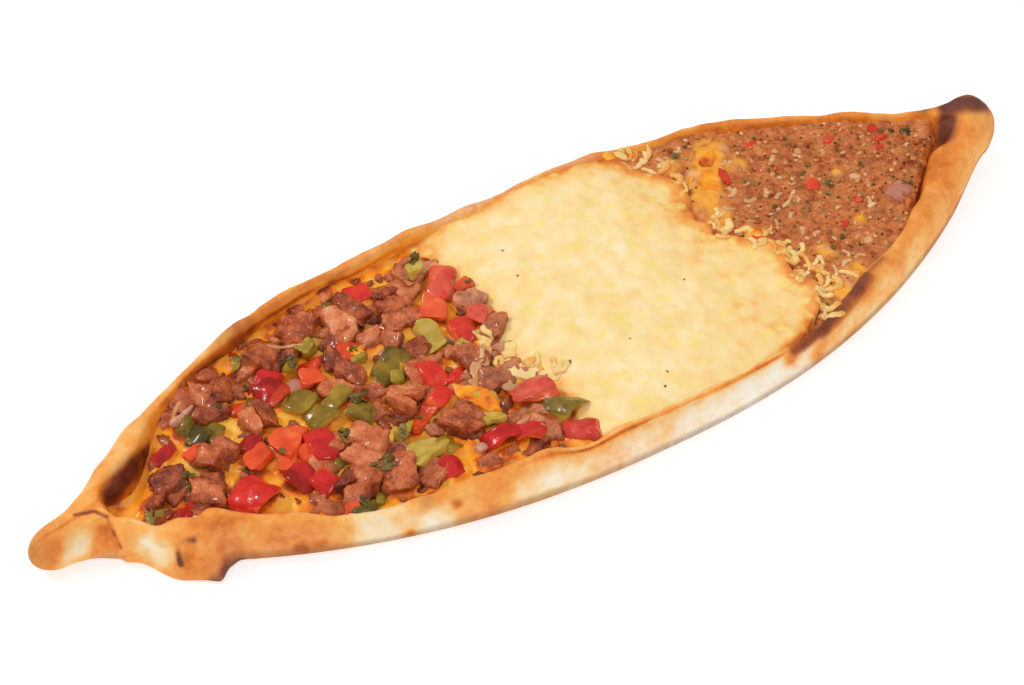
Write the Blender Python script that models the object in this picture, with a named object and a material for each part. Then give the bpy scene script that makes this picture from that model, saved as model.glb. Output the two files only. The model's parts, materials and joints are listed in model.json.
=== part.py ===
"""A boat-shaped oven-baked flatbread pie with three fillings side by side.

X runs along the pie, from the low pinched tip (-X) to the raised tip (+X). +Y is the far
side and +Z is up. The origin is under the middle of the pie, on the table. The dough is one
shell with a raised rim. It holds a bed of melted cheese under diced meat and peppers, a
wide band of melted cheese, and a field of spiced mince.
"""

import math
import random

import bmesh
import bpy
from mathutils import Euler, Matrix, Vector, noise

MM = 0.001

# Driving dimensions, in millimetres.
LENGTH = 395.0
HALF_WIDTH = 64.0
RIM_HEIGHT = 15.5
FLOOR = 5.0
GAP = 0.4
SEAM = 0.8
SEAM_WANDER = 2.6
SEAM_SCALE = 0.045

# How the plan narrows on each side: (widest place in X, reach to -X, power, reach to +X, power).
NEAR_BELLY = (14.0, 200.0, 2.4, 182.0, 2.2)
FAR_BELLY = (17.0, 208.0, 3.0, 178.0, 2.5)

# Half-widths of the two pinched tips: near side, far side.
LOW_TIP = (7.5, 6.5)
RAISED_TIP = (5.5, 11.0)
TIP_ROUNDING = 9.0
TIP_END_INSET = 0.15
TIP_START = 160.0
TIP_END = 184.0
RAISED_TIP_LIFT = 5.0
LOW_TIP_LIFT = 0.5

# Where the opening ends at each tip: from fully open to closed dough.
LOW_CORNER = (-165.5, -171.0)
RAISED_CORNER = (167.0, 181.0)

# Swells and dips of the hand-pressed dough: (place in X, change, spread).
NEAR_HEIGHT = [(-157, -4.0, 6), (-150, 4.0, 22), (-96, -4.5, 20), (-41, 1.5, 12), (-23, -2.0, 9), 
               (13, 2.0, 15), (72, -2.5, 22), (140, 2.5, 12), (190, 4.5, 14), (-190, -3.0, 14)]
FAR_HEIGHT = [(-158, 3.0, 22), (-66, 3.0, 42), (38, 3.2, 34), (112, 2.6, 26), (157, 1.8, 20),
              (186, 6.0, 12), (-190, -2.5, 10)]
NEAR_THICKNESS = [(-146, 2.5, 22), (-93, -0.5, 12), (-41, 1.5, 14), (74, -2.0, 20),
                  (150, 4.0, 32)]
FAR_THICKNESS = [(-148, 2.5, 25), (60, -1.0, 40), (165, 1.5, 20)]
RIM_THICKNESS = 7.0
CREST_FULLNESS = 0.55
FLOOR_BELOW_CREST = 1.0

# The rounded lower edge of the dough, along the pie and at the tips: height and inset.
FOOT_ROUNDING = (1.2, 4.0)
FOOT_INSET = (2.2, 3.6)

# The folded dough end on the near side of the low tip.
FOLD_PLACE = -154.0
FOLD_SPREAD = 9.5
FOLD_REACH = 9.5
FOLD_LEAN = 7.5
NEAR_LEAN = 1.2
FAR_LEAN = 0.6
TUCK_PLACE = -172.0
TUCK_SPREAD = 3.5
TUCK_DEPTH = 4.5

# Fillings, along X.
DICED_START = -163.0
CHEESE_START = -12.0
CHEESE_END = 84.0
MINCE_END = 175.0
BED_LEVEL = 8.2
BED_RELIEF = 0.5
BED_SCALE = 0.05
CHEESE_DOME = 3.0
CHEESE_BELOW_RIM = 2.0
MINCE_BELOW_RIM = 3.4
MINCE_DOME = 1.2
LUMP = 0.7
CHEESE_RAMP = 12.0
CHEESE_STEP = 1.5

# Mesh fineness.
STATIONS = 76
STATION_EASING = 0.75
RIM_STEPS = 8
WALL_LEVELS = 4
ACROSS = 8

# Diced toppings, as (x, y, size, turn in degrees).
MEAT = [
    (-79, 42, 12, 10), (-60, 38, 14, 35), (-45, 43, 9, 5), (-44, 30, 12, 50), (-32, 45, 8, 20),
    (-96, 38, 10, 30), (-109, 12, 13, 12), (-76, 11, 14, 28), (-64, -5, 11, 65),
    (-20, 23, 9, 15), (-19, 8, 9, 40), (-34, -3, 9, 10), (-35, -15, 9, 35),
    (-54, -27, 10, 20), (-84, -20, 13, 15), (-92, -10, 8, 50), (-96, -31, 12, 25),
    (-82, -36, 11, 60), (-54, -45, 8, 5), (-28, -42, 8, 25), (-129, 5, 10, 35),
    (-145, 3, 9, 5), (-136, -9, 11, 50), (-154, -3, 8, 20), (-114, 31, 9, 40),
    (-121, 24, 8, 15),
]

# Red pepper, as (x, y, length, width, turn in degrees).
RED_PEPPER = [
    (-23, 36, 12, 10, 60), (-32, 24, 9, 6, 20), (-29, 11, 12, 7, 80), (-49, -1, 13, 6, 75),
    (-63, -17, 14, 5, 25), (-25, -26, 11, 9, 10), (-43, -39, 17, 5, -10),
    (-64, -41, 8, 6, 30), (-20, -49, 8, 6, -5), (-96, 26, 17, 6, 28), (-118, -4, 9, 9, 10),
    (-105, -4, 8, 8, 20), (-109, -19, 10, 9, 35), (-125, -18, 12, 8, 15),
    (-147, -12, 7, 6, 40), (-142, 14, 7, 5, 30),
]

# Tomato, as (x, y, size, turn in degrees).
TOMATO = [(-67, 24, 9, 30), (-82, 25, 7, 10)]

# Green pepper, as (x, y, length, width, turn in degrees).
GREEN_PEPPER = [
    (-93, 12, 9, 8, 30), (-91, 1, 12, 7, 15), (-60, 9, 10, 8, 40), (-78, -4, 9, 6, 60),
    (-40, 14, 11, 6, 80), (-68, -31, 12, 9, 20), (-41, -27, 11, 7, 75),
    (-19, -37, 10, 7, 15), (-130, 15, 8, 6, 40),
]

# Onion, as (x, y, length, width, turn in degrees).
ONION = [(-134, 22, 10, 4, 35), (141, -14, 10, 8, 20)]

PEPPER_THICKNESS = 3.4
ONION_THICKNESS = 2.6
BOW = 0.09
MEAT_FLATNESS = 0.74
MEAT_ROUNDNESS = 0.11
TOMATO_FLATNESS = 0.7
TOMATO_ROUNDNESS = 0.2
UNEVENNESS = 0.09
TOPPING_SEED = 7

COLOURS = {
    "crust": (0.80, 0.50, 0.22),
    "cheese_bed": (0.90, 0.55, 0.12),
    "melted_cheese": (0.92, 0.76, 0.42),
    "mince": (0.47, 0.23, 0.11),
    "meat": (0.42, 0.17, 0.11),
    "red_pepper": (0.62, 0.05, 0.03),
    "tomato": (0.70, 0.11, 0.04),
    "green_pepper": (0.34, 0.36, 0.08),
    "onion": (0.72, 0.60, 0.42),
}
ROUGHNESS = {"crust": 0.65, "mince": 0.6, "meat": 0.5}
GLOSSY = 0.3


def smoothstep(low, high, value):
    """0 at low, 1 at high, with an even start and end."""
    t = min(max((value - low) / (high - low), 0.0), 1.0)
    return t * t * (3.0 - 2.0 * t)


def mix(a, b, t):
    return a + (b - a) * t


def soft_max(a, b, softness=5.0):
    return 0.5 * (a + b + math.hypot(a - b, softness)) - 0.2 * softness


def bell(x, place, spread, power=2):
    return math.exp(-(abs(x - place) / spread) ** power)


def swells(x, base, bumps):
    """A base value with the hand-pressed swells added."""
    return base + sum(change * bell(x, place, spread) for place, change, spread in bumps)


def belly(x, shape):
    """Half-width of one side of the plan, from the widest place towards each tip."""
    widest, low_reach, low_power, high_reach, high_power = shape
    away = x - widest
    reach, power = (low_reach, low_power) if away < 0 else (high_reach, high_power)
    return HALF_WIDTH * (1.0 - min(abs(away) / reach, 1.0) ** power)


def tipness(x):
    return smoothstep(TIP_START, TIP_END, abs(x))


def near_foot(x):
    tip = LOW_TIP[0] if x < 0 else RAISED_TIP[0]
    fold = FOLD_REACH * bell(x, FOLD_PLACE, FOLD_SPREAD, 4)
    return -soft_max(belly(x, NEAR_BELLY), tip) - fold


def far_foot(x):
    tip = LOW_TIP[1] if x < 0 else RAISED_TIP[1]
    return soft_max(belly(x, FAR_BELLY), tip)


def lift(x):
    rise = LOW_TIP_LIFT if x < 0 else RAISED_TIP_LIFT
    return rise * smoothstep(TIP_START, LENGTH / 2, abs(x))


def closed(x):
    """0 where the pie is open, 1 where the dough is pinched shut."""
    corner = LOW_CORNER if x < 0 else RAISED_CORNER
    return smoothstep(corner[0], corner[1], x) if x > 0 else smoothstep(-corner[0], -corner[1], -x)


def rims(x):
    """The near and far rim at x: foot, direction inwards, thickness, height and lean."""
    near, far = near_foot(x), far_foot(x)
    widest = 0.47 * (far - near)
    fold = FOLD_LEAN * bell(x, FOLD_PLACE, FOLD_SPREAD)
    upright = 1.0 - tipness(x)
    return [
        (near, 1.0, min(swells(x, RIM_THICKNESS, NEAR_THICKNESS), widest),
         swells(x, RIM_HEIGHT, NEAR_HEIGHT), NEAR_LEAN * upright + fold),
        (far, -1.0, min(swells(x, RIM_THICKNESS - 1.0, FAR_THICKNESS), widest),
         swells(x, RIM_HEIGHT, FAR_HEIGHT), FAR_LEAN * upright),
    ]


def floor_level(x):
    low_rim = min(rim[3] for rim in rims(x))
    return mix(FLOOR, low_rim - FLOOR_BELOW_CREST, closed(x))


def rim_arc(x, rim):
    """Section of one rim from its outer foot, over the crest, to the floor inside."""
    foot, inwards, thickness, height, lean = rim
    floor = floor_level(x)
    points = []
    for step in range(RIM_STEPS + 1):
        angle = math.pi * step / RIM_STEPS
        base = mix(*FOOT_ROUNDING, tipness(x)) if angle < math.pi / 2 else floor
        rise = max(math.sin(angle), 0.0) ** CREST_FULLNESS
        z = base + (height - base) * rise
        across = thickness * (1.0 - math.cos(angle)) / 2 + lean * z / height
        points.append((foot + inwards * across, z))
    return points


def crust_section(x):
    """The closed dough section at x, as (y, z) points."""
    near, far = rims(x)
    near_arc, far_arc = rim_arc(x, near), rim_arc(x, far)
    tuck = TUCK_DEPTH * bell(x, TUCK_PLACE, TUCK_SPREAD)
    near_arc = [(y + tuck * math.sin(math.pi * min(z / near[3], 1.0)) * (i < RIM_STEPS / 2), z)
                for i, (y, z) in enumerate(near_arc)]
    inset = mix(*FOOT_INSET, tipness(x))
    inner_near, inner_far = near_arc[-1], far_arc[-1]
    floor = [(mix(inner_near[0], inner_far[0], part), mix(inner_near[1], inner_far[1], part))
             for part in (0.25, 0.5, 0.75)]
    middle = (near[0] + far[0]) / 2
    bottom = [(far[0] - inset, 0.0), (middle, 0.0), (near[0] + inset, 0.0)]
    return near_arc + floor + far_arc[::-1] + bottom


def end_rounding(x):
    """Shrinks the section over the last stretch, so that each tip ends round."""
    past = abs(x) - (LENGTH / 2 - TIP_ROUNDING)
    return math.sqrt(max(1.0 - (max(past, 0.0) / TIP_ROUNDING) ** 2, 0.0))


def tip_axis(x):
    near, far = rims(x)
    return (near[0] + far[0]) / 2, (near[3] + far[3]) / 4 + 1.0


def placed_section(x):
    """The section at x in space, lifted and rounded off at the tips."""
    size = end_rounding(x)
    axis_y, axis_z = tip_axis(x)
    rise = lift(x)
    return [Vector((x, mix(axis_y, y, size), mix(axis_z, z, size) + rise)) * MM
            for y, z in crust_section(x)]


def inner_y(x, side, z):
    """Where the inner wall of one rim stands at height z (side 0 near, 1 far)."""
    arc = rim_arc(x, rims(x)[side])[RIM_STEPS // 2:]
    for (y_up, z_up), (y_low, z_low) in zip(arc, arc[1:]):
        if z >= z_low:
            t = min(max((z - z_low) / max(z_up - z_low, 1e-6), 0.0), 1.0)
            return mix(y_low, y_up, t)
    return arc[-1][0]


def material(name):
    found = bpy.data.materials.get(name)
    if found:
        return found
    made = bpy.data.materials.new(name)
    made.use_nodes = True
    shader = made.node_tree.nodes["Principled BSDF"]
    shader.inputs["Base Color"].default_value = (*COLOURS[name], 1.0)
    shader.inputs["Roughness"].default_value = ROUGHNESS.get(name, GLOSSY)
    shader.inputs["Metallic"].default_value = 0.0
    made.diffuse_color = (*COLOURS[name], 1.0)
    return made


def add_object(name, bm, slot, collection, smooth_angle=40.0):
    """Turn a bmesh into a named object with its material."""
    bmesh.ops.recalc_face_normals(bm, faces=bm.faces[:])
    mesh = bpy.data.meshes.new(name)
    bm.to_mesh(mesh)
    bm.free()
    mesh.materials.append(material(slot))
    mesh.shade_smooth()
    mesh.set_sharp_from_angle(angle=math.radians(smooth_angle))
    made = bpy.data.objects.new(name, mesh)
    collection.objects.link(made)
    return made


def fan_cap(bm, ring):
    """Close a tip with triangles around its middle."""
    centre = bm.verts.new(sum((v.co for v in ring), Vector()) / len(ring))
    for vert, following in zip(ring, ring[1:] + ring[:1]):
        bm.faces.new((vert, following, centre))


def strip_cap(bm, ring):
    """Close a filling's end with upright strips between its surface and its underside."""
    last = WALL_LEVELS + 1
    bm.faces.new(ring[:last + 1] + ring[-1:])
    for i in range(ACROSS - 2):
        bm.faces.new((ring[last + i], ring[last + i + 1], ring[-2 - i], ring[-1 - i]))
    far = last + ACROSS - 2
    bm.faces.new(ring[far:far + last + 2])


def loft(sections, cap):
    """Join closed sections of equal length into one body with capped ends."""
    bm = bmesh.new()
    rings = [[bm.verts.new(point) for point in section] for section in sections]
    count = len(rings[0])
    for ring, following in zip(rings, rings[1:]):
        for i in range(count):
            j = (i + 1) % count
            bm.faces.new((ring[i], ring[j], following[j], following[i]))
    for ring in (rings[0], rings[-1]):
        cap(bm, ring)
    return bm


def stations():
    """Places along X, closer together towards the tips."""
    places = []
    for i in range(STATIONS + 1):
        u = 2.0 * i / STATIONS - 1.0
        eased = mix(u, math.sin(u * math.pi / 2), STATION_EASING)
        places.append(eased * (LENGTH / 2 - TIP_END_INSET))
    return places


def make_crust(collection):
    sections = [placed_section(x) for x in stations()]
    return add_object("crust", loft(sections, fan_cap), "crust", collection)


def wander(y, seed):
    """How far the edge between two fillings strays along X at y."""
    return SEAM_WANDER * noise.noise(Vector((y * SEAM_SCALE, seed, 0.0)))


def bed_top(x, y):
    return BED_LEVEL + BED_RELIEF * noise.noise(Vector((x, y, 34.0)) * BED_SCALE)


def cheese_top(x, across):
    near, far = rims(x)
    edge = mix(near[3] - CHEESE_BELOW_RIM, far[3] - CHEESE_BELOW_RIM, across)
    full = edge + CHEESE_DOME * 4.0 * across * (1.0 - across)
    ramp = smoothstep(CHEESE_START - SEAM_WANDER, CHEESE_START + CHEESE_RAMP, x)
    return mix(BED_LEVEL + CHEESE_STEP, full, ramp)


def mince_top(x, across):
    near, far = rims(x)
    edge = mix(near[3] - MINCE_BELOW_RIM, far[3] - MINCE_BELOW_RIM, across)
    lump = noise.noise(Vector((x * 0.16, across * 9.0, 4.2)))
    return edge + MINCE_DOME * math.sin(math.pi * across) + LUMP * lump


def clearance(x, side, z):
    """Gap to a rim along Y, wider where the rim runs at a slant or bends round the fold."""
    slant = inner_y(x + 0.5, side, z) - inner_y(x - 0.5, side, z)
    bend = 1.0 + 3.0 * bell(x, FOLD_PLACE, 1.5 * FOLD_SPREAD)
    return GAP * bend * (1.0 if side == 0 else -1.0) * math.hypot(1.0, slant)


def filling_section(x_of, top_of):
    """One cross-section of a filling, from the near wall to the far wall and back below.

    x_of gives the place along X for a share of the way across, and top_of the surface.
    """
    def wall(side, share):
        x = x_of(share)
        base = floor_level(x) + lift(x) + GAP
        top = top_of(x, share) + lift(x)
        points = []
        for level in range(WALL_LEVELS + 1):
            z = mix(base, top, level / WALL_LEVELS)
            y = inner_y(x, side, z - lift(x)) + clearance(x, side, z - lift(x))
            points.append(Vector((x, y, z)))
        return points

    near, far = wall(0, 0.0), wall(1, 1.0)
    surface = []
    floor = []
    for i in range(1, ACROSS):
        share = i / ACROSS
        x = x_of(share)
        y = mix(near[-1].y, far[-1].y, share)
        surface.append(Vector((x, y, top_of(x, share) + lift(x))))
        floor.append(Vector((x, mix(near[0].y, far[0].y, share), floor_level(x) + lift(x) + GAP)))
    points = near + surface + far[::-1] + floor[::-1]
    return [point * MM for point in points]


def make_filling(name, slot, collection, start, end, top_of, steps, easing=1.0):
    """Loft a filling between two edge lines; start and end give X for a share across.

    An easing above 1 puts the sections closer together near the start.
    """
    sections = []
    for step in range(steps + 1):
        part = (step / steps) ** easing
        sections.append(filling_section(
            lambda share, part=part: mix(start(share), end(share), part), top_of))
    return add_object(name, loft(sections, strip_cap), slot, collection)


def make_fillings(collection):
    def left_edge(share):
        return CHEESE_START + wander(mix(-55, 55, share), 3.1)

    def right_edge(share):
        return CHEESE_END + wander(mix(-55, 55, share), 8.4)

    make_filling("cheese_bed", "cheese_bed", collection,
                 lambda share: DICED_START, lambda share: left_edge(share) - SEAM / 2,
                 lambda x, share: bed_top(x, mix(near_foot(x), far_foot(x), share)), 32, 1.35)
    make_filling("melted_cheese", "melted_cheese", collection,
                 lambda share: left_edge(share) + SEAM / 2,
                 lambda share: right_edge(share) - SEAM / 2, cheese_top, 22)
    make_filling("minced_meat", "mince", collection,
                 lambda share: right_edge(share) + SEAM / 2, lambda share: MINCE_END,
                 mince_top, 24)


def rest_height(bm, matrix, ground):
    """How far to raise a topping so that it rests a small gap above the ground function."""
    need = -1e9
    for vert in bm.verts:
        place = matrix @ vert.co
        need = max(need, ground(place.x / MM, place.y / MM) + GAP - place.z / MM)
    return need * MM


def place_topping(name, slot, bm, x, y, turn, tilt, ground, collection):
    """Turn, tilt and rest one topping, and store it in world space."""
    matrix = Matrix.Translation(Vector((x, y, 0.0)) * MM)
    matrix @= Euler((tilt[0], tilt[1], math.radians(turn))).to_matrix().to_4x4()
    raised = Matrix.Translation((0.0, 0.0, rest_height(bm, matrix, ground)))
    made = add_object(name, bm, slot, collection, 25.0)
    made.matrix_world = raised @ matrix
    return made


def diced_chunk(size, flatness, roundness, dice):
    """An uneven die of cooked meat or tomato, with its edges cut off."""
    bm = bmesh.new()
    bmesh.ops.create_cube(bm, size=size * MM)
    for vert in bm.verts:
        vert.co.z *= flatness
        vert.co += Vector([dice.uniform(-UNEVENNESS, UNEVENNESS) * size * MM for _ in range(3)])
    bmesh.ops.bevel(bm, geom=bm.edges[:], offset=roundness * size * MM, segments=1,
                    affect="EDGES")
    bmesh.ops.triangulate(bm, faces=bm.faces[:])
    return bm


def curved_slice(length, width, thickness, bow, dice):
    """A cut piece of pepper or onion wall, bowed along its length."""
    bm = bmesh.new()
    bmesh.ops.create_cube(bm, size=1.0)
    along = [edge for edge in bm.edges if abs((edge.verts[0].co - edge.verts[1].co).x) > 0.5]
    bmesh.ops.subdivide_edges(bm, edges=along, cuts=3, use_grid_fill=True)
    taper = dice.uniform(0.75, 0.95)
    for vert in bm.verts:
        share = vert.co.x * 2.0
        vert.co.y *= mix(1.0, taper, (share + 1.0) / 2.0)
        vert.co = Vector((vert.co.x * length, vert.co.y * width, vert.co.z * thickness)) * MM
        vert.co.z += bow * (1.0 - share * share) * MM
        vert.co.y += 0.35 * bow * share * share * MM
    bmesh.ops.triangulate(bm, faces=bm.faces[:])
    return bm


def make_toppings(collection):
    dice = random.Random(TOPPING_SEED)

    def on_bed(x, y):
        return bed_top(x, y)

    def on_mince(x, y):
        across = (y - near_foot(x)) / (far_foot(x) - near_foot(x))
        return mince_top(x, min(max(across, 0.0), 1.0)) + LUMP

    def place(kind, number, bm, spot, most_tilt):
        x, y, turn = spot[0], spot[1], spot[-1]
        tilt = dice.uniform(-most_tilt, most_tilt), dice.uniform(-most_tilt, most_tilt)
        ground = on_bed if x < CHEESE_START else on_mince
        place_topping(f"{kind}_{number:02d}", kind, bm, x, y, turn, tilt, ground, collection)

    for number, spot in enumerate(MEAT, 1):
        chunk = diced_chunk(spot[2], MEAT_FLATNESS, MEAT_ROUNDNESS, dice)
        place("meat", number, chunk, spot, 0.2)
    for number, spot in enumerate(TOMATO, 1):
        chunk = diced_chunk(spot[2], TOMATO_FLATNESS, TOMATO_ROUNDNESS, dice)
        place("tomato", number, chunk, spot, 0.15)
    for kind, spots, thickness, most_tilt in (
            ("red_pepper", RED_PEPPER, PEPPER_THICKNESS, 0.3),
            ("green_pepper", GREEN_PEPPER, PEPPER_THICKNESS, 0.3),
            ("onion", ONION, ONION_THICKNESS, 0.1)):
        for number, spot in enumerate(spots, 1):
            length, width = spot[2], spot[3]
            piece = curved_slice(length, width, thickness, BOW * length, dice)
            place(kind, number, piece, spot, most_tilt)


def main():
    for old in list(bpy.data.objects):
        bpy.data.objects.remove(old, do_unlink=True)
    collection = bpy.data.collections.new("meat_and_cheese_pie")
    bpy.context.scene.collection.children.link(collection)
    make_crust(collection)
    make_fillings(collection)
    make_toppings(collection)


main()
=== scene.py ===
import itertools
import json
import math
import random

import bmesh
import bpy
import numpy as np
from mathutils import Euler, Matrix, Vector
from mathutils.bvhtree import BVHTree

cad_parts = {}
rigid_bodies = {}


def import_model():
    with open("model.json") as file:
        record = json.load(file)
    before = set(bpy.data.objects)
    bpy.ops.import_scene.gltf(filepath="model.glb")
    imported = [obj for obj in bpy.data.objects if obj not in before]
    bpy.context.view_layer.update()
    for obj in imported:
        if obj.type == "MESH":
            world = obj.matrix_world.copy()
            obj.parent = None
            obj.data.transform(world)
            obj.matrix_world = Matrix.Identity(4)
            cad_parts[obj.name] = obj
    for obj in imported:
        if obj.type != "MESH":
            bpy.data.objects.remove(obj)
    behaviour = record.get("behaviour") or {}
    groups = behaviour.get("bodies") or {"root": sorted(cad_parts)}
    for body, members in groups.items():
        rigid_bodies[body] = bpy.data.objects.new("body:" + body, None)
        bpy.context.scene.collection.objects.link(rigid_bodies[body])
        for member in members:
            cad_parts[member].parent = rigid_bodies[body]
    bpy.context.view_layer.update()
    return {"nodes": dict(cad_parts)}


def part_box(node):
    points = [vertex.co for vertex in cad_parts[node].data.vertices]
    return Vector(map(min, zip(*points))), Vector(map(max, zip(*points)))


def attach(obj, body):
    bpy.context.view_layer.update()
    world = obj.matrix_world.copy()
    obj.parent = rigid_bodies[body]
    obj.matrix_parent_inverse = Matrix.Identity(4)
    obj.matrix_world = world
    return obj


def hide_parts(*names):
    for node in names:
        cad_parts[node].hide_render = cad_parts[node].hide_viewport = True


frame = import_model()

# Boat-shaped flatbread pie with three fillings side by side: diced meat with peppers,
# melted cheese and spiced mince. Lengths are millimetres until a mesh is made.
# X runs along the pie from the low pinched tip to the raised tip, +Y is the far side.
mm = 0.001
near, far = 0, 1


def linear(hexText):
    # sRGB hex to the linear colour that shaders work in
    channels = [int(hexText[i:i + 2], 16) / 255 for i in (0, 2, 4)]
    return (*(c / 12.92 if c <= 0.04045 else ((c + 0.055) / 1.055) ** 2.4 for c in channels), 1.0)


def mix(a, b, t):
    return a + (b - a) * t


def smooth(low, high, value):
    t = np.clip((value - low) / (high - low), 0.0, 1.0)
    return t * t * (3.0 - 2.0 * t)


def bell(x, place, spread, power=2):
    return np.exp(-(np.abs(x - place) / spread) ** power)


def hashed(cell, seed):
    # a repeatable number from 0 to 1 for every whole-number cell
    x, y, z = (cell[..., axis].astype(np.int64) for axis in range(3))
    n = (x * 374761393 + y * 668265263 + z * 1442695041 + seed * 144269) & 0xffffffff
    n = ((n ^ (n >> 13)) * 1274126177) & 0xffffffff
    return (n ^ (n >> 16)) / 0xffffffff


def noiseAt(points, size, seed=0):
    # smooth noise, about -1 to 1, with swells of the given size
    scaled = np.asarray(points, float) / size
    cell = np.floor(scaled)
    part = scaled - cell
    fade = part ** 3 * (part * (part * 6 - 15) + 10)
    total = 0.0
    for corner in itertools.product((0, 1), repeat=3):
        at = cell + corner
        slope = np.stack([hashed(at, seed * 3 + axis) for axis in range(3)], -1) * 2 - 1
        weight = np.prod(np.where(corner, fade, 1 - fade), -1)
        total = total + weight * np.sum(slope * (part - corner), -1)
    return np.clip(total * 1.7, -1.0, 1.0)


def flatNoise(x, y, size, seed=0):
    x, y = np.broadcast_arrays(x, y)
    return noiseAt(np.stack([x, y, np.full(x.shape, 3.7)], -1), size, seed)


def uneven(level, x, y, swells):
    # a level with swells on it, each as size, depth and seed
    for size, depth, seed in swells:
        level = level + depth * flatNoise(x, y, size, seed)
    return level


def tableAt(x, table):
    return np.interp(x, list(table), list(table.values()))


# the dough shell: its shape rules, which the fillings follow too

crustLow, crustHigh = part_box("crust")
dough = {
    "halfLength": (crustHigh.x - crustLow.x) / 2 / mm,
    "halfWidth": 64.0,
    "rimHeight": 15.5,
    "rimThickness": (7.0, 6.0),                 # near, far
    "rimShare": 0.47,                           # of the width, the most that one rim takes
    "floor": 5.0,
    # near, far: widest x, reach to -X, power, reach to +X, power
    "belly": ((14.0, 200.0, 2.4, 182.0, 2.2), (17.0, 208.0, 3.0, 178.0, 2.5)),
    "tipWidth": ((5.3, 6.4), (6.5, 10.8)),      # near, far: at the low tip, at the raised tip
    "tipBlend": (5.0, 1.0),                     # softens where the sides run into the tips
    "tipStart": 160.0,
    "tipEnd": 184.0,
    "tipRounding": 9.0,
    "tipInset": 0.15,
    "lift": (0.5, 5.0),                         # low tip, raised tip
    "liftEnd": 197.5,
    "corner": ((-165.5, -171.0), (168.0, 178.0)),    # where the floor rises to the crest at both ends
    # near, far: bumps as x, change, spread
    "height": (((-157, -4.0, 6), (-150, 4.0, 22), (-96, -4.5, 20), (-41, 1.5, 12), (-23, -2.0, 9),
                (13, 0.6, 15), (30, -1.4, 34), (72, -2.0, 22), (140, 2.5, 12), (190, 4.5, 14),
                (-190, -3.0, 14)),
               ((-158, 3.4, 22), (-104, 1.4, 26), (-66, 4.0, 40), (-48, -2.0, 12), (-24, 1.9, 15),
                (38, 4.2, 34), (94, 2.6, 14), (112, 2.8, 26), (157, 3.4, 24), (186, 9.6, 11),
                (-190, 0.6, 12))),
    "thickness": (((-146, 2.5, 22), (-93, -0.5, 12), (-41, 1.5, 14), (74, -2.0, 16), (98, 1.5, 16),
                   (150, 4.0, 32), (167, 9.0, 14)),
                  ((-148, 2.5, 25), (-157, 10.0, 14), (60, -1.0, 40), (165, 1.5, 20))),
    "fullness": 0.55,                           # 1 is a plain arch, less is a fuller rim
    "floorBelowCrest": 1.0,
    "footRounding": (1.2, 4.0),                 # along the pie, at the tips
    "footInset": (2.2, 3.6),
    "fold": (-154.0, 9.5, 9.5, 7.5),            # place, spread, reach, lean
    "lean": (1.2, 0.0),
    "humpEnds": ((-165.0, -174.0), (169.0, 183.0)),  # where the two rims grow into one at both ends
    "humpHeight": 0.4,
    "humpFullness": 0.62,
    "tuck": (-181.0, -174.0, -171.6, -170.0, 4.6),   # hollow beside the overlapping dough end
    "lap": (-171.0, -164.0, 1.1),                    # the dough end that laps over it
    "pinch": (-163.5, 1.3, 1.9, 6.5, 3.4),      # groove in the fold: place, width, depth, height, reach
    "crease": (-159.0, 3.4, 1.4, 11.5, 0.9),
    "undercut": (-144.5, 5.0, -2.4, 4.0),       # lip under the edge: place, spread, depth, height
    "stations": 700,
    "stationEasing": 0.6,                       # more of them near the tips
    "arcSteps": (50, 42),
    "floorSteps": 5,
    "bottomSteps": 14,
    "bottomUneven": (0.3, 0.25, 14.0, 5),       # level, depth, size, seed
    "relief": {"Swell": (22, 0.55), "Ripple": (6.5, 0.16), "Lump": (10, 0.0), "Seed": 2.0},   # size, depth
}


def swells(x, base, bumps):
    return base + sum(change * bell(x, place, spread) for place, change, spread in bumps)


def halfPlan(x, side):
    widest, lowReach, lowPower, highReach, highPower = dough["belly"][side]
    away = np.abs(x - widest)
    reach = np.where(x < widest, lowReach, highReach)
    power = np.where(x < widest, lowPower, highPower)
    body = dough["halfWidth"] * (1 - np.minimum(away / reach, 1) ** power)
    tip = np.where(x < 0, *dough["tipWidth"][side])
    soft, excess = dough["tipBlend"]
    return 0.5 * (body + tip + np.hypot(body - tip, soft)) - excess


def foldShare(x, power=2):
    return bell(x, dough["fold"][0], dough["fold"][1], power)


def tipness(x):
    return smooth(dough["tipStart"], dough["tipEnd"], np.abs(x))


def feet(x):
    return -halfPlan(x, near) - dough["fold"][2] * foldShare(x, 4), halfPlan(x, far)


def liftAt(x):
    rise = np.where(x < 0, *dough["lift"])
    return rise * smooth(dough["tipStart"], dough["liftEnd"], np.abs(x))


def rimAt(x, side):
    # foot, direction inwards, thickness, height and lean of one rim
    nearFoot, farFoot = feet(x)
    most = dough["rimShare"] * (farFoot - nearFoot)
    thickness = np.minimum(swells(x, dough["rimThickness"][side], dough["thickness"][side]), most)
    height = swells(x, dough["rimHeight"], dough["height"][side])
    lean = dough["lean"][side] * (1 - tipness(x))
    if side == near:
        return nearFoot, 1.0, thickness, height, lean + dough["fold"][3] * foldShare(x)
    return farFoot, -1.0, thickness, height, lean


def shut(x, low, high):
    # 0 where the pie is open, 1 beyond a place at its low tip and one at its raised tip
    return np.where(x < 0, smooth(-low[0], -low[1], -x), smooth(*high, x))


def floorLevel(x):
    lowRim = np.minimum(rimAt(x, near)[3], rimAt(x, far)[3])
    return mix(dough["floor"], lowRim - dough["floorBelowCrest"], shut(x, *dough["corner"]))


def rimArc(x, side, angle):
    # y and z of one rim from its outer foot (angle 0) over the crest to the floor (angle pi)
    foot, inwards, thickness, height, lean = rimAt(x, side)
    outer = mix(*dough["footRounding"], tipness(x))
    base = np.where(angle < math.pi / 2, outer, floorLevel(x))
    z = base + (height - base) * np.maximum(np.sin(angle), 0.0) ** dough["fullness"]
    across = thickness * (1 - np.cos(angle)) / 2 + lean * z / height
    return foot + inwards * across, z


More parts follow.
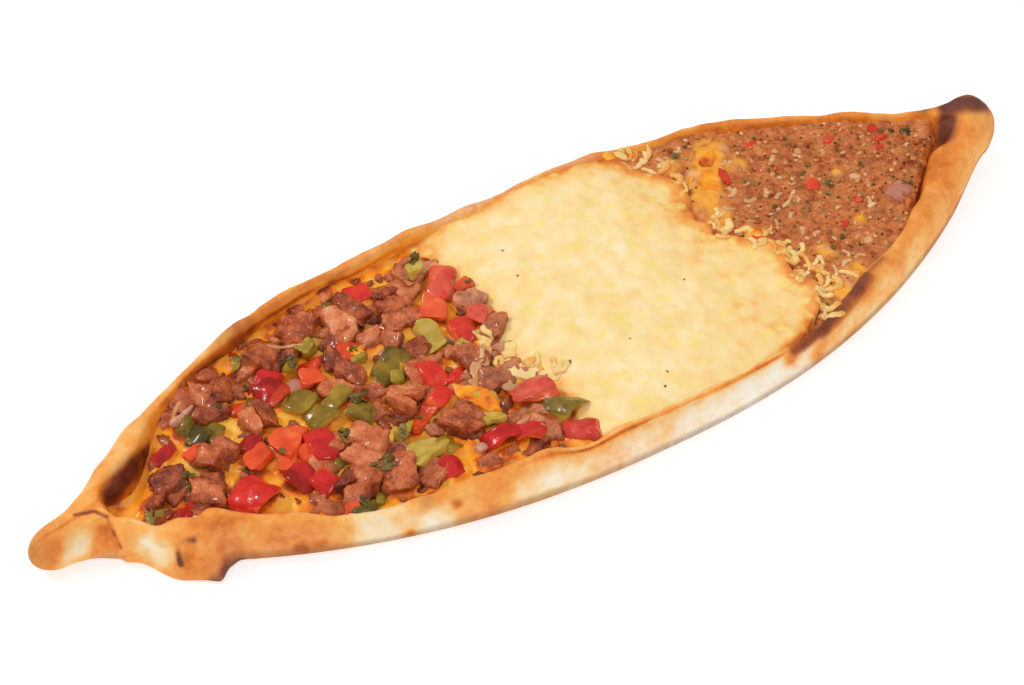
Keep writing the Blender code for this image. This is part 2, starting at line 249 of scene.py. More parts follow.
def innerWall(x, side, z):
    # where the inner face of a rim stands at height z
    foot, inwards, thickness, height, lean = rimAt(x, side)
    floor = floorLevel(x)
    share = np.clip((z - floor) / (height - floor), 0, 1) ** (1 / dough["fullness"])
    angle = math.pi - np.arcsin(share)
    return foot + inwards * (thickness * (1 - np.cos(angle)) / 2 + lean * z / height)


# mesh and node helpers

def ringFaces(rows, columns):
    # quads of a grid of points whose columns close into a ring
    corner = np.arange((rows - 1) * columns).reshape(rows - 1, columns)
    beside = np.roll(corner, -1, axis=1)
    return np.stack([corner, corner + columns, beside + columns, beside], -1).reshape(-1, 4)


def tubeFaces(rows, columns):
    # the same grid with a flat cap at both ends
    last = (rows - 1) * columns
    caps = [list(range(columns)), list(range(last, last + columns))[::-1]]
    return ringFaces(rows, columns).tolist() + caps


def pointedOut(points, faces):
    # turns all the faces round if the closed shape is inside out
    bm = bmesh.new()
    verts = [bm.verts.new(p) for p in points]
    for face in faces:
        bm.faces.new([verts[i] for i in face])
    insideOut = bm.calc_volume(signed=True) < 0
    bm.free()
    return [face[::-1] for face in faces] if insideOut else faces


def meshPiece(name, points, faces, coat=None, marks=None):
    # an object from points in millimetres; marks are numbers for each point that its material reads
    mesh = bpy.data.meshes.new(name)
    mesh.from_pydata((np.asarray(points) * mm).tolist(), [], [list(map(int, f)) for f in faces])
    mesh.shade_smooth()
    for mark, values in (marks or {}).items():
        attribute = mesh.attributes.new(mark, "FLOAT", "POINT")
        attribute.data.foreach_set("value", np.broadcast_to(values, (len(points),)).astype(np.float32))
    if coat:
        mesh.materials.append(coat)
    piece = bpy.data.objects.new(name, mesh)
    bpy.context.scene.collection.objects.link(piece)
    return piece


def addNode(tree, kind, inputs=None, out=None, stops=None, **settings):
    # adds a node with its settings, values, links and colour stops, and gives back one output;
    # a text is a hex colour in a colour socket, and the name of a point mark in a number socket
    node = tree.nodes.new(kind)
    for name, value in settings.items():
        setattr(node, name, value)
    for key, value in (inputs or {}).items():
        exact = [socket for socket in node.inputs if socket.identifier == key]
        socket = exact[0] if exact else node.inputs[key]
        if isinstance(value, str) and socket.type == "RGBA":
            value = linear(value)
        elif isinstance(value, str) and socket.type == "VALUE":
            value = addNode(tree, "ShaderNodeAttribute", out="Fac", attribute_name=value)
        if isinstance(value, bpy.types.NodeSocket):
            tree.links.new(value, socket)
        else:
            socket.default_value = value
    if stops:
        elements = node.color_ramp.elements
        while len(elements) < len(stops):
            elements.new(1.0)
        for element, (place, shade) in zip(elements, stops):
            element.position = place
            element.color = linear(shade)
    usable = [socket for socket in node.outputs if socket.enabled]
    return node.outputs[out] if out else (usable or [node])[0]


def addUp(tree, *parts):
    # the sum of sockets, each with its weight
    total = 0.0
    for value, weight in parts:
        total = addNode(tree, "ShaderNodeMath", {"Value": value, "Value_001": weight, "Value_002": total},
                        operation="MULTIPLY_ADD")
    return total


def newTree(name, **sockets):
    # an empty geometry tree with named inputs, listed by kind
    tree = bpy.data.node_groups.new(name, "GeometryNodeTree")
    tree.interface.new_socket("Geometry", in_out="OUTPUT", socket_type="NodeSocketGeometry")
    for kind, labels in {"Geometry": ["Geometry"], **sockets}.items():
        for label in labels:
            tree.interface.new_socket(label, in_out="INPUT", socket_type="NodeSocket" + kind)
    return tree, tree.nodes.new("NodeGroupInput").outputs


def finishTree(tree, geometry, coat):
    real = addNode(tree, "GeometryNodeRealizeInstances", {"Geometry": geometry})
    coated = addNode(tree, "GeometryNodeSetMaterial", {"Geometry": real, "Material": coat})
    tree.links.new(coated, tree.nodes.new("NodeGroupOutput").inputs[0])
    return tree


def grown(name, base, tree, values):
    # runs a geometry tree on a base object and keeps the result as a plain mesh
    modifier = base.modifiers.new("nodes", "NODES")
    modifier.node_group = tree
    for item in tree.interface.items_tree:
        if item.in_out == "INPUT" and item.name in values:
            modifier[item.identifier] = values[item.name]
    bpy.context.view_layer.update()
    mesh = bpy.data.meshes.new_from_object(base.evaluated_get(bpy.context.evaluated_depsgraph_get()))
    mesh.name = name
    mesh.shade_smooth()
    base.modifiers.remove(modifier)
    piece = bpy.data.objects.new(name, mesh)
    bpy.context.scene.collection.objects.link(piece)
    return piece


def reliefTree():
    # pushes a surface out along its normals: broad swells, fine ripples and round lumps.
    # The point mark give says how much of it each place takes, and raise adds its own height.
    tree, given = newTree("surfaceRelief", Float=[
        "Swell Size", "Swell Depth", "Ripple Size", "Ripple Depth", "Lump Size", "Lump Depth", "Seed"],
        Material=["Coat"])
    place = addNode(tree, "GeometryNodeInputPosition")
    parts = []
    for label, detail in (("Swell", 1.0), ("Ripple", 2.0), ("Lump", None)):
        scale = addNode(tree, "ShaderNodeMath", {"Value": 1.0, "Value_001": given[label + " Size"]},
                        operation="DIVIDE")
        shared = {"Vector": place, "W": given["Seed"], "Scale": scale}
        if label == "Lump":
            form = addNode(tree, "ShaderNodeTexVoronoi", {**shared, "Smoothness": 0.3},
                           voronoi_dimensions="4D", feature="SMOOTH_F1")
            reach = {"From Min": 0.15, "From Max": 0.75, "To Min": 1.0, "To Max": -1.0}
        else:
            form = addNode(tree, "ShaderNodeTexNoise", {**shared, "Detail": detail}, noise_dimensions="4D")
            reach = {"From Min": 0.3, "From Max": 0.7, "To Min": -1.0, "To Max": 1.0}
        centred = addNode(tree, "ShaderNodeMapRange", {"Value": form, **reach})
        parts.append((centred, given[label + " Depth"]))
    give, own = (addNode(tree, "GeometryNodeInputNamedAttribute", {"Name": mark}, data_type="FLOAT")
                 for mark in ("give", "raise"))
    height = addUp(tree, (addUp(tree, *parts), give), (own, 1.0))
    push = addNode(tree, "ShaderNodeVectorMath", {0: addNode(tree, "GeometryNodeInputNormal"),
                                                  "Scale": height}, operation="SCALE")
    moved = addNode(tree, "GeometryNodeSetPosition", {"Geometry": given[0], "Offset": push})
    return finishTree(tree, moved, given["Coat"])


def scatterTree():
    # sets shapes on a surface where its point mark where allows, each turned, leaned and sized at random
    tree, given = newTree("scatterOnSurface", Collection=["Shapes"], Float=[
        "Least Gap", "Per Square Metre", "Smallest", "Largest", "Lean", "Lift"], Int=["Seed"],
        Material=["Coat"])
    where = addNode(tree, "GeometryNodeInputNamedAttribute", {"Name": "where"}, data_type="FLOAT")
    points = addNode(tree, "GeometryNodeDistributePointsOnFaces",
                     {"Mesh": given[0], "Distance Min": given["Least Gap"],
                      "Density Max": given["Per Square Metre"], "Density Factor": where,
                      "Seed": given["Seed"]}, distribute_method="POISSON")
    spread = points.node.outputs
    lifted = addNode(tree, "ShaderNodeVectorMath", {0: spread["Normal"], "Scale": given["Lift"]},
                     operation="SCALE")
    points = addNode(tree, "GeometryNodeSetPosition", {"Geometry": points, "Offset": lifted})
    shapes = addNode(tree, "GeometryNodeCollectionInfo",
                     {"Collection": given["Shapes"], "Separate Children": True, "Reset Children": True})
    lean = given["Lean"]
    back = addNode(tree, "ShaderNodeMath", {"Value": lean, "Value_001": -1.0}, operation="MULTIPLY")
    low = addNode(tree, "ShaderNodeCombineXYZ", {"X": back, "Y": back, "Z": 0.0})
    high = addNode(tree, "ShaderNodeCombineXYZ", {"X": lean, "Y": lean, "Z": math.tau})
    turn = addNode(tree, "FunctionNodeRandomValue", {"Min": low, "Max": high, "Seed": given["Seed"]},
                   data_type="FLOAT_VECTOR")
    turn = addNode(tree, "FunctionNodeEulerToRotation", {"Euler": turn})
    turn = addNode(tree, "FunctionNodeRotateRotation", {"Rotation": spread["Rotation"], "Rotate By": turn},
                   rotation_space="LOCAL")
    size = addNode(tree, "FunctionNodeRandomValue",
                   {"Min_001": given["Smallest"], "Max_001": given["Largest"], "Seed": given["Seed"]},
                   data_type="FLOAT")
    placed = addNode(tree, "GeometryNodeInstanceOnPoints",
                     {"Points": points, "Instance": shapes, "Pick Instance": True, "Rotation": turn,
                      "Scale": size})
    tone = addNode(tree, "FunctionNodeRandomValue", {"Seed": 11}, data_type="FLOAT")
    toned = addNode(tree, "GeometryNodeStoreNamedAttribute",
                    {"Geometry": placed, "Name": "tone", "Value": tone},
                    data_type="FLOAT", domain="INSTANCE")
    return finishTree(tree, toned, given["Coat"])


trees = {"relief": reliefTree(), "scatter": scatterTree()}


def relieved(name, points, faces, marks, values, coat):
    # a closed mesh pushed out into relief; values give each kind of relief its size and depth
    base = meshPiece(name + "Base", points, pointedOut(points, faces), marks=marks)
    given = {"Seed": values["Seed"], "Coat": coat}
    for label in ("Swell", "Ripple", "Lump"):
        size, depth = values[label]
        given.update({label + " Size": size * mm, label + " Depth": depth * mm})
    made = grown(name, base, trees["relief"], given)
    bpy.data.objects.remove(base)
    return made


# materials

def newCoat(name):
    # a material with only its shader and output, and patches, which lays soft patches on the piece
    coat = bpy.data.materials.new(name)
    coat.use_nodes = True
    tree = coat.node_tree
    place = addNode(tree, "ShaderNodeTexCoord", out="Object")
    place = addNode(tree, "ShaderNodeVectorMath", {0: place, "Scale": 1 / mm}, operation="SCALE")

    def patches(size, low=0.0, high=1.0, seed=0.0, detail=2.0):
        # a size in millimetres, spread evenly from low to high
        noise = addNode(tree, "ShaderNodeTexNoise", {"Vector": place, "W": seed, "Scale": 1 / size,
                                                     "Detail": detail, "Roughness": 0.55},
                        noise_dimensions="4D")
        return addNode(tree, "ShaderNodeMapRange", {"Value": noise, "From Min": 0.3, "From Max": 0.7,
                                                    "To Min": low, "To Max": high})
    return coat, tree, patches, place


def layered(tree, shade, *layers):
    # colours laid over one another; each layer is a colour and one or two shares, which are multiplied
    for over, share, *thinned in layers:
        for other in thinned:
            share = addNode(tree, "ShaderNodeMath", {"Value": share, "Value_001": other},
                            operation="MULTIPLY")
        shade = addNode(tree, "ShaderNodeMix", {"Factor_Float": share, "A_Color": shade, "B_Color": over},
                        data_type="RGBA")
    return shade


def finishCoat(coat, shade, rough, height, depth, values):
    tree = coat.node_tree
    shader = tree.nodes["Principled BSDF"].inputs
    bump = addNode(tree, "ShaderNodeBump", {"Height": height, "Distance": depth * mm, "Strength": 1.0})
    for socket, name in ((shade, "Base Color"), (rough, "Roughness"), (bump, "Normal")):
        tree.links.new(socket, shader[name])
    for name, value in values.items():
        shader[name].default_value = value
    return coat


def bakedDoughCoat():
    # stone-oven wheat dough: cream flour-dusted sides, golden to toasted crest, oily inner wall, and painted
    # shade in its creases and under its edges
    coat, tree, patches = newCoat("bakedDough")[:3]
    bakedAndShaded = addUp(tree, ("bakeAndShade", 1.0), (patches(12.0, -1, 1, 0.0, 3.0), 0.115),
                  (patches(3.6, -1, 1, 4.0), 0.06), (patches(1.1, -1, 1, 8.0), 0.025))
    dry = addNode(tree, "ShaderNodeValToRGB", {"Fac": bakedAndShaded}, stops=[
        (0.0, "fbeed8"), (0.2, "fad69e"), (0.4, "f8b05a"), (0.56, "ee903e"), (0.72, "ce6c26"),
        (0.86, "984618"), (1.0, "642a10")])
    oily = addNode(tree, "ShaderNodeValToRGB", {"Fac": bakedAndShaded}, stops=[
        (0.3, "ffbc3e"), (0.46, "fa9c22"), (0.6, "e87a16"), (0.76, "b85412"), (0.95, "5c1a08")])
    # scorched spots and the painted shade of creases and edges share one purple-brown, maroon where oily
    scorchAndShade = layered(tree, "6a3f36", ("5c1f0c", "oil"))
    shade = layered(tree, dry, (oily, "oil", patches(9.0, 0.5, 1.0, 2.0)),
                    ("fbf4e8", "flour", patches(3.0, 0.1, 1.0, 9.0, 4.0)),
                    (scorchAndShade, "charAndShade", patches(4.5, 0.7, 1.1, 6.0, 3.0)))
    rough = addNode(tree, "ShaderNodeMapRange", {"Value": "oil", "To Min": 0.58, "To Max": 0.3})
    height = addUp(tree, (patches(0.9, 0, 1, 12.0, 3.0), 0.4), (patches(3.0, 0, 1, 5.0), 0.9))
    return finishCoat(coat, shade, rough, height, 0.22, {
        "IOR": 1.4, "Specular IOR Level": 0.3, "Subsurface Weight": 0.08, "Subsurface Scale": 0.003,
        "Subsurface Radius": (1.0, 0.45, 0.2)})


def cheeseCoat(name, look):
    # melted mozzarella type cheese: soft fatty sheen, butterfat pooled in yellow and orange spots
    coat, tree, patches = newCoat(name)[:3]
    pooled = addUp(tree, (patches(look["patch"], *look["reach"], 1.0), 1.0), ("oil", 1.0),
                   (patches(22.0, -1, 1, 3.0), 0.07), (patches(1.6, -1, 1, 6.0), look["grain"]))
    shade = addNode(tree, "ShaderNodeValToRGB", {"Fac": pooled}, stops=look["stops"])
    shade = layered(tree, shade, (look["speck"], patches(look["speckSize"], *look["speckReach"], 7.0, 1.0)))
    height = addUp(tree, (patches(1.6, 0, 1, 3.0, 0.0), 0.3), (patches(4.5, 0, 1, 8.0, 1.0), 2.4))
    return finishCoat(coat, shade, patches(6.0, *look["rough"], 5.0), height, look["bump"], {
        "IOR": 1.45, "Specular IOR Level": look["gloss"], "Subsurface Weight": 0.12,
        "Subsurface Scale": 0.003, "Subsurface Radius": (1.0, 0.7, 0.35)})


def foodCoat(name, look):
    # a cooked piece: tone from piece to piece, mottling, and darker low down in the filling, where shade is
    # painted between the pieces as well as soaked-in juice
    coat, tree, patches, place = newCoat(name)
    tone = addUp(tree, ("tone", look["toneShare"]), (patches(look["patch"], 0, 1, 1.0, 3.0), 0.5),
                 (patches(look["grain"], -1, 1, 2.0, 3.0), look["grainShare"]))
    shade = addNode(tree, "ShaderNodeValToRGB", {"Fac": tone}, stops=look["stops"])
    if "skin" in look:
        skin = addNode(tree, "ShaderNodeValToRGB", {"Fac": tone}, stops=look["skin"])
        shade = layered(tree, shade, (skin, "skin"))
    if "milk" in look:
        shade = layered(tree, shade, (look["milk"], "milk", patches(3.0, 0.1, 1.0, 4.0)))
    # painted shade and juice: darker the lower a point lies
    low, high, most = look["soakAndShade"]
    up = addNode(tree, "ShaderNodeSeparateXYZ", {"Vector": place}, out="Z")
    soakedAndShaded = addNode(tree, "ShaderNodeMapRange", {"Value": up, "From Min": low, "From Max": high,
                                                  "To Min": most, "To Max": 0.0})
    shade = layered(tree, shade, (look["juiceAndShade"], soakedAndShaded))
    height = patches(look["grain"], 0, 1, 3.0, 3.0)
    return finishCoat(coat, shade, patches(2.6, *look["rough"], 6.0), height, look["bump"], {
        "IOR": 1.45, "Specular IOR Level": 0.4, "Coat Weight": look["coat"], "Coat Roughness": 0.1})


def minceCoat():
    # spiced minced meat baked in its own oil: brown paste of fine grains with paler and redder crumbs
    coat, tree, patches = newCoat("spicedMince")[:3]
    tone = addUp(tree, ("tone", 0.38), (patches(13.0, 0, 1, 9.0), 0.14),
                 (patches(3.6, 0, 1, 1.0, 3.0), 0.36), (patches(1.4, 0, 1, 2.0), 0.18))
    shade = addNode(tree, "ShaderNodeValToRGB", {"Fac": tone}, stops=[
        (0.15, "723010"), (0.32, "a85424"), (0.5, "ca6e34"), (0.68, "da8446"), (0.84, "e8a468"),
        (1.0, "f6cc9c")])
    melted = layered(tree, "ffae30", ("eeb480", patches(5.0, -1.3, 0.9, 21.0)))
    shade = layered(tree, shade,
                    ("c4552c", patches(5.0, -1.0, 0.6, 12.0)),          # redder meat
                    ("e08a44", patches(2.6, -1.6, 0.8, 14.0)),          # paprika in oil
                    ("94703a", patches(4.0, -1.7, 0.85, 18.0)),         # herbs
                    # the pits between the grains are painted shade
                    ("642a0e", patches(1.8, -2.6, 0.8, 15.0, 3.0)),     # pits between the grains
                    (melted, "melt", patches(4.0, 0.55, 1.1, 17.0)))    # cheese run in
    height = addUp(tree, (patches(0.8, 0, 1, 3.0, 3.0), 0.3), (patches(2.0, 0, 1, 5.0), 1.0))
    return finishCoat(coat, shade, patches(2.2, 0.25, 0.5, 6.0), height, 0.34, {
        "IOR": 1.45, "Specular IOR Level": 0.4, "Coat Weight": 0.25, "Coat Roughness": 0.12})


coats = {
    "dough": bakedDoughCoat(),
    "bed": cheeseCoat("oilyCheese", {
        "patch": 8.0, "reach": (0.0, 0.55), "grain": 0.05, "rough": (0.18, 0.36),
        "speckSize": 3.4, "speckReach": (-1.4, 0.45), "speck": "fdc870",
        "bump": 0.15, "gloss": 0.4,
        "stops": [(0.1, "ffc24c"), (0.32, "ffa828"), (0.5, "f4861a"), (0.62, "cc5a18"), (0.8, "883610"),
                  (1.0, "4c1a08")]}),
    "cheese": cheeseCoat("meltedCheese", {
        "patch": 7.0, "reach": (0.14, 0.44), "grain": 0.02, "rough": (0.3, 0.46),
        "speckSize": 4.2, "speckReach": (-0.8, 0.75), "speck": "f8dc7c", "bump": 0.06, "gloss": 0.3,
        "stops": [(0.1, "fee8bc"), (0.3, "fddd9e"), (0.48, "fbd088"), (0.64, "f7b25a"), (0.82, "ec8e3a"),
                  (1.0, "cc6826")]}),
    "mince": minceCoat(),
    "meat": foodCoat("roastMeat", {
        "stops": [(0.08, "641f08"), (0.3, "9e441e"), (0.5, "cd6535"), (0.72, "e4834e"), (1.0, "f2a878")],
        "toneShare": 0.4, "patch": 5.0, "grain": 0.9, "grainShare": 0.12, "rough": (0.26, 0.5), "bump": 0.22,
        "soakAndShade": (10.0, 15.0, 0.8), "juiceAndShade": "4e1a08", "coat": 0.5, "milk": "f2c496"}),
    "red": foodCoat("roastRedPepper", {
        "stops": [(0.1, "cc3a14"), (0.45, "ea5020"), (0.8, "f46c32"), (1.0, "fa9250")],
        "skin": [(0.1, "940c06"), (0.4, "c81a14"), (0.7, "e02c1c"), (1.0, "ec4a28")],
        "toneShare": 0.4, "patch": 6.0, "grain": 1.6, "grainShare": 0.05, "rough": (0.14, 0.32), "bump": 0.1,
        "soakAndShade": (10.0, 14.0, 0.65), "juiceAndShade": "7a1808", "coat": 0.45, "milk": "f0b088"}),
    "tomato": foodCoat("bakedTomato", {
        "stops": [(0.1, "c8360e"), (0.5, "ea4e1e"), (0.9, "f67a3a")],
        "toneShare": 0.3, "patch": 5.0, "grain": 1.5, "grainShare": 0.07, "rough": (0.15, 0.3), "bump": 0.14,
        "soakAndShade": (10.0, 14.0, 0.6), "juiceAndShade": "8a260a", "coat": 0.45}),
    "green": foodCoat("roastGreenPepper", {
        "stops": [(0.1, "8e741a"), (0.4, "b4922c"), (0.7, "c8a640"), (1.0, "dcb85c")],
        "skin": [(0.1, "463c0a"), (0.4, "765c10"), (0.7, "9a761a"), (1.0, "b8922c")],
        "toneShare": 0.5, "patch": 6.0, "grain": 1.6, "grainShare": 0.05, "rough": (0.16, 0.34), "bump": 0.1,
        "soakAndShade": (10.0, 14.0, 0.6), "juiceAndShade": "4f3c0e", "coat": 0.4, "milk": "dcc890"}),
    "onion": foodCoat("friedOnion", {
        "stops": [(0.1, "b06850"), (0.5, "c9806a"), (0.9, "dfae92")],
        "toneShare": 0.4, "patch": 5.0, "grain": 1.4, "grainShare": 0.06, "rough": (0.2, 0.35), "bump": 0.1,
        "soakAndShade": (10.0, 13.5, 0.5), "juiceAndShade": "8c4a24", "coat": 0.35}),
    "herb": foodCoat("choppedParsley", {
        "stops": [(0.1, "46380e"), (0.5, "705a1e"), (0.9, "9c8444")],
        "toneShare": 0.5, "patch": 2.0, "grain": 0.8, "grainShare": 0.1, "rough": (0.3, 0.55), "bump": 0.08,
        "soakAndShade": (7.0, 9.0, 0.2), "juiceAndShade": "2a2c10", "coat": 0.2}),
    "shred": foodCoat("cheeseShred", {
        "stops": [(0.1, "c8844c"), (0.45, "dea26c"), (0.9, "efc290")],
        "toneShare": 0.5, "patch": 4.0, "grain": 1.2, "grainShare": 0.08, "rough": (0.28, 0.45),
        "bump": 0.08, "soakAndShade": (9.0, 11.0, 0.3), "juiceAndShade": "c07838", "coat": 0.2}),
    "speck": foodCoat("crackedPepper", {
        "stops": [(0.1, "24120a"), (0.5, "402414"), (0.9, "5e3a22")],
        "toneShare": 0.5, "patch": 2.0, "grain": 0.6, "grainShare": 0.1, "rough": (0.5, 0.6), "bump": 0.04,
        "soakAndShade": (7.0, 9.0, 0.2), "juiceAndShade": "24120a", "coat": 0.0}),
}
print("materials made")


# the baked dough

# how far baked the dough is along the pie, as x: value; 0 is cream, 1 is dark brown; the far crease line is
# painted shade under the far crest
browningAndShade = {
    "nearOuter": {-197: 0.5, -188: 0.4, -176: 0.5, -170: 0.42, -160: 0.46, -150: 0.6, -140: 0.62,
        -125: 0.56, -112: 0.52, -100: 0.4, -88: 0.38, -70: 0.44, -58: 0.46, -46: 0.38, -36: 0.26,
        -20: 0.38, 5: 0.28, 40: 0.06, 60: 0.14, 75: 0.3, 90: 0.34, 105: 0.34, 125: 0.36, 150: 0.42,
        180: 0.46, 197: 0.56},
    "nearCrest": {-197: 0.56, -186: 0.42, -172: 0.4, -162: 0.4, -150: 0.52, -125: 0.5, -105: 0.42,
        -90: 0.42, -75: 0.52, -60: 0.6, -45: 0.48, -30: 0.38, 0: 0.34, 50: 0.38, 62: 0.46, 72: 0.52,
        84: 0.54, 98: 0.54, 110: 0.52, 122: 0.5, 150: 0.52, 170: 0.54, 185: 0.52, 197: 0.62},
    "nearInner": {-197: 0.7, -160: 0.6, -60: 0.55, 0: 0.62, 60: 0.68, 197: 0.68},
    "nearLine": {-60: 0.0, -40: 0.3, -25: 0.8, -5: 0.8, 8: 0.5, 24: 0.42, 38: 0.6, 55: 0.75, 68: 0.4,
        80: 0.0},
    "farOuter": {-197: 0.54, -160: 0.45, -60: 0.35, 60: 0.3, 140: 0.34, 197: 0.5},
    "farCrest": {-197: 0.54, -186: 0.42, -170: 0.42, -140: 0.42, -110: 0.42, -98: 0.52, -85: 0.56,
        -60: 0.56, -40: 0.52, 20: 0.52, 58: 0.52, 64: 0.5, 100: 0.52, 140: 0.52, 170: 0.52, 185: 0.6,
        197: 0.6},
    "farInner": {-197: 0.8, -164: 0.6, -150: 0.66, -138: 0.6, -125: 0.62, -112: 0.7, -98: 0.68, -90: 0.52,
        -80: 0.44, -70: 0.38, -55: 0.4, -40: 0.38, -20: 0.34, 50: 0.4, 62: 0.4, 80: 0.42, 100: 0.54,
        130: 0.66, 152: 0.6, 180: 0.52, 197: 0.6},
    "farLine": {-197: 0.2, -150: 0.1, -124: 0.1, -114: 0.6, -104: 0.9, -94: 0.9, -80: 0.6, -62: 0.5,
        -45: 0.6, 0: 0.7, 45: 0.8, 56: 0.7, 62: 0.1, 90: 0.1, 115: 0.4, 150: 0.3, 182: 0.8, 197: 0.8},
    # painted shade in the crease under the far crest
    "farCreaseShade": {-115: 0.0, -98: 0.6, -84: 0.8, -72: 1.0, -60: 0.5, -48: 0.9, -38: 0.5, -25: 0.2,
        0: 0.0},
}

# places lighter or darker than the dough round them, mostly as baked, and in the hollow by the lapped dough
# end as painted shade: x, y, z, radius, value
bakedAndShadedSpots = [
    (-163, -17, 9, 5.5, 0.06), (-160, -22, 9, 4.5, 0.12), (-153, -27, 8, 6, 0.6), (-120, -38, 4, 3, 0.86),
    # the hollow by the lapped dough end, darkened as painted shade, is at x -172 and -174
    (-116, -40, 5, 2, 0.7), (-172, -5, 12, 3.4, 0.7), (-174, -8, 9, 3, 0.7), (-190, -5, 12, 5, 0.62),
    (-182, -6, 11, 5, 0.2), (-186, -8, 8, 4, 0.14), (-178, 9, 14, 6, 0.56), (-170, 14, 15, 5, 0.4),
    (-71, -53, 10, 2.2, 0.8), (-87, -50, 3, 2.0, 0.78), (-58, -57, 10, 8, 0.5), (-104, -44, 8, 3, 0.6),
    (-46, -59, 8, 6, 0.2), (-38, -60, 9, 5, 0.02), (-97, -46, 8, 10, 0.08), (-113, -40, 5, 2, 0.74),
    (-78, -52, 5, 6, 0.08), (-29, -60, 7, 4, 0.16), (3, -62, 10, 6, 0.24), (60, -58, 11, 4, 0.56),
    (73, -57, 6, 5, 0.56), (100, -44, 15, 7, 0.66), (157, -17, 18, 9, 0.62), (168, -12, 18, 8, 0.62),
    (143, -30, 15, 8, 0.5), (-100, -46, 5, 4, 0.1), (-132, -34, 12, 6, 0.5), (-90, -47, 13, 4, 0.2),
    (120, -40, 14, 6, 0.5), (178, -12, 15, 5, 0.5), (-149, 24, 18, 7, 0.4), (-160, 16, 17, 5, 0.4),
    (-140, 30, 16, 5, 0.44), (-21, 58, 17, 6, 0.5), (69, 56, 15, 5, 0.44), (30, 61, 17, 8, 0.38),
    (112, 48, 18, 6, 0.6), (188, -5, 18, 7, 0.5), (184, -9, 12, 6, 0.36), (150, 27, 18, 8, 0.6),
]

# toasted nearly black: x, y, z, radius, strength
charSpots = [
    (194, -1, 25, 2.5, 0.6), (175, 14, 21, 3.2, 0.8), (-99, 52, 18, 5, 0.7), (-106, 50, 17, 4, 0.5),
    (-92, 50, 14, 4, 0.6), (-99, 47, 13, 5, 0.7), (-57, 56, 14, 2.4, 0.8), (-53, 57, 14.5, 1.8, 0.7),
    (96, 50, 12, 4, 0.6), (90, 52, 12, 3, 0.5), (-197, 0, 12, 8, 0.34), (-188, -3, 14, 9, 0.14),
    (192, -4, 20, 9, 0.12), (197, 0, 20, 3, 0.3), (-87, -47, 15, 2.4, 0.5), (-80, -49, 14, 3.0, 0.4),
]

# dark lines, painted shade in creases and under edges or toasted streaks: points along each, radius,
# strength
shadeAndCharLines = [
    # painted shade along the tuck, in the two slits of the fold and under the lip of the fold
    ([(-179.3, 2.8, 16.3), (-173.4, 0.6, 16.7), (-170.8, -3.2, 16), (-170.8, -7.2, 12.6),
      (-170.4, -9.5, 8.3), (-170, -11, 4)], 0.9, 0.45),
    ([(-156.3, -23.4, 11.8), (-156.9, -24.7, 9.2), (-156.9, -25.7, 6.7)], 1.2, 1.0),
    ([(-155.2, -23, 14), (-152.9, -24.3, 14.5), (-151.3, -25.3, 14.6)], 1.2, 0.9),
    ([(-149.5, -33, 0.6), (-146.5, -32.5, 1.4), (-143.5, -31, 1.6), (-138.5, -30.6, 1)], 2.4, 0.9),
    # toasted streaks on the near crest
    ([(114, -39, 17), (104, -42.4, 16.4), (96, -45.8, 14.8)], 2.4, 0.5),
    ([(104, -42.2, 16), (96, -45.6, 14.8), (88, -48.8, 13.8), (79, -52, 13.4)], 2.8, 0.72),
    ([(103, -43.4, 16.4), (96, -46, 15), (86, -49.8, 14), (76, -53.4, 13.2)], 4.8, 0.3),
    ([(82, -51.4, 13.4), (72, -54.8, 12.7), (62, -56.4, 12.2)], 2.6, 0.4),
    # painted shade in the pocket by the low tip and under the far rim
    ([(-165.5, 7, 13), (-161, 9, 15), (-153.5, 13, 14.5), (-146, 19, 11)], 4.4, 1.0),
    ([(-147, 19, 10), (-140, 25, 9.5), (-132, 31, 10), (-120, 38.5, 11.5), (-108, 44, 13)], 2.8, 0.85),
    # toasted patches on the raised tip
    ([(180, 7, 24), (184, 4, 26), (188, 1.5, 25.8), (192, 1, 25)], 4.4, 1.0),
    ([(177.5, 3.5, 21), (174.5, 0.5, 16.5)], 4.6, 0.95),
]

# blisters of the dough: x, side, angle share, radius, height
blisters = [
    (-120, near, 0.42, 7, 1.0), (-101, near, 0.36, 5, 0.7), (-62, near, 0.40, 8, 1.0),
    (-35, near, 0.35, 6, 0.8), (-8, near, 0.30, 7, 0.7), (28, near, 0.28, 6, 0.6),
    (66, near, 0.30, 8, 0.6), (112, near, 0.42, 9, 1.0), (142, near, 0.40, 8, 1.1),
    (165, near, 0.38, 7, 0.9), (-188, near, 0.4, 5, 0.8), (-150, far, 0.4, 7, 0.6),
    (-100, far, 0.38, 8, 0.8), (-50, far, 0.35, 9, 0.7), (0, far, 0.36, 8, 0.8), (55, far, 0.4, 7, 0.7),
    (110, far, 0.36, 9, 0.8), (150, far, 0.42, 6, 0.7), (-155, near, 0.26, 6, 1.0),
    (-82, near, 0.3, 4, 0.5),
]


# where the marks of baking and of painted shade lie across a rim, from its outer foot (0) over the crest
# (0.5) to the floor (1); each is a place and a spread, or a start and an end
rimBands = {
    "crest": (0.5, 0.15), "grown": (0.3, 0.5), "nearLine": (0.42, 0.05), "farLine": (0.375, 0.055),
    "farCreaseShade": (0.8, 0.035), "farFlour": (0.56, 0.1), "foot": (0.0, 0.033), "flourTop": (0.34, 0.22),
    "nearWall": 0.70, "farWall": (0.6, 0.68), "wallSoft": 0.1, "still": ((0.72, 0.9), (0.0, 0.06)),
}
# the dark lines are a toasted line on the near rim and painted shade in the crease under the far crest
streak = 0.86      # how far baked the dark lines along the rims are


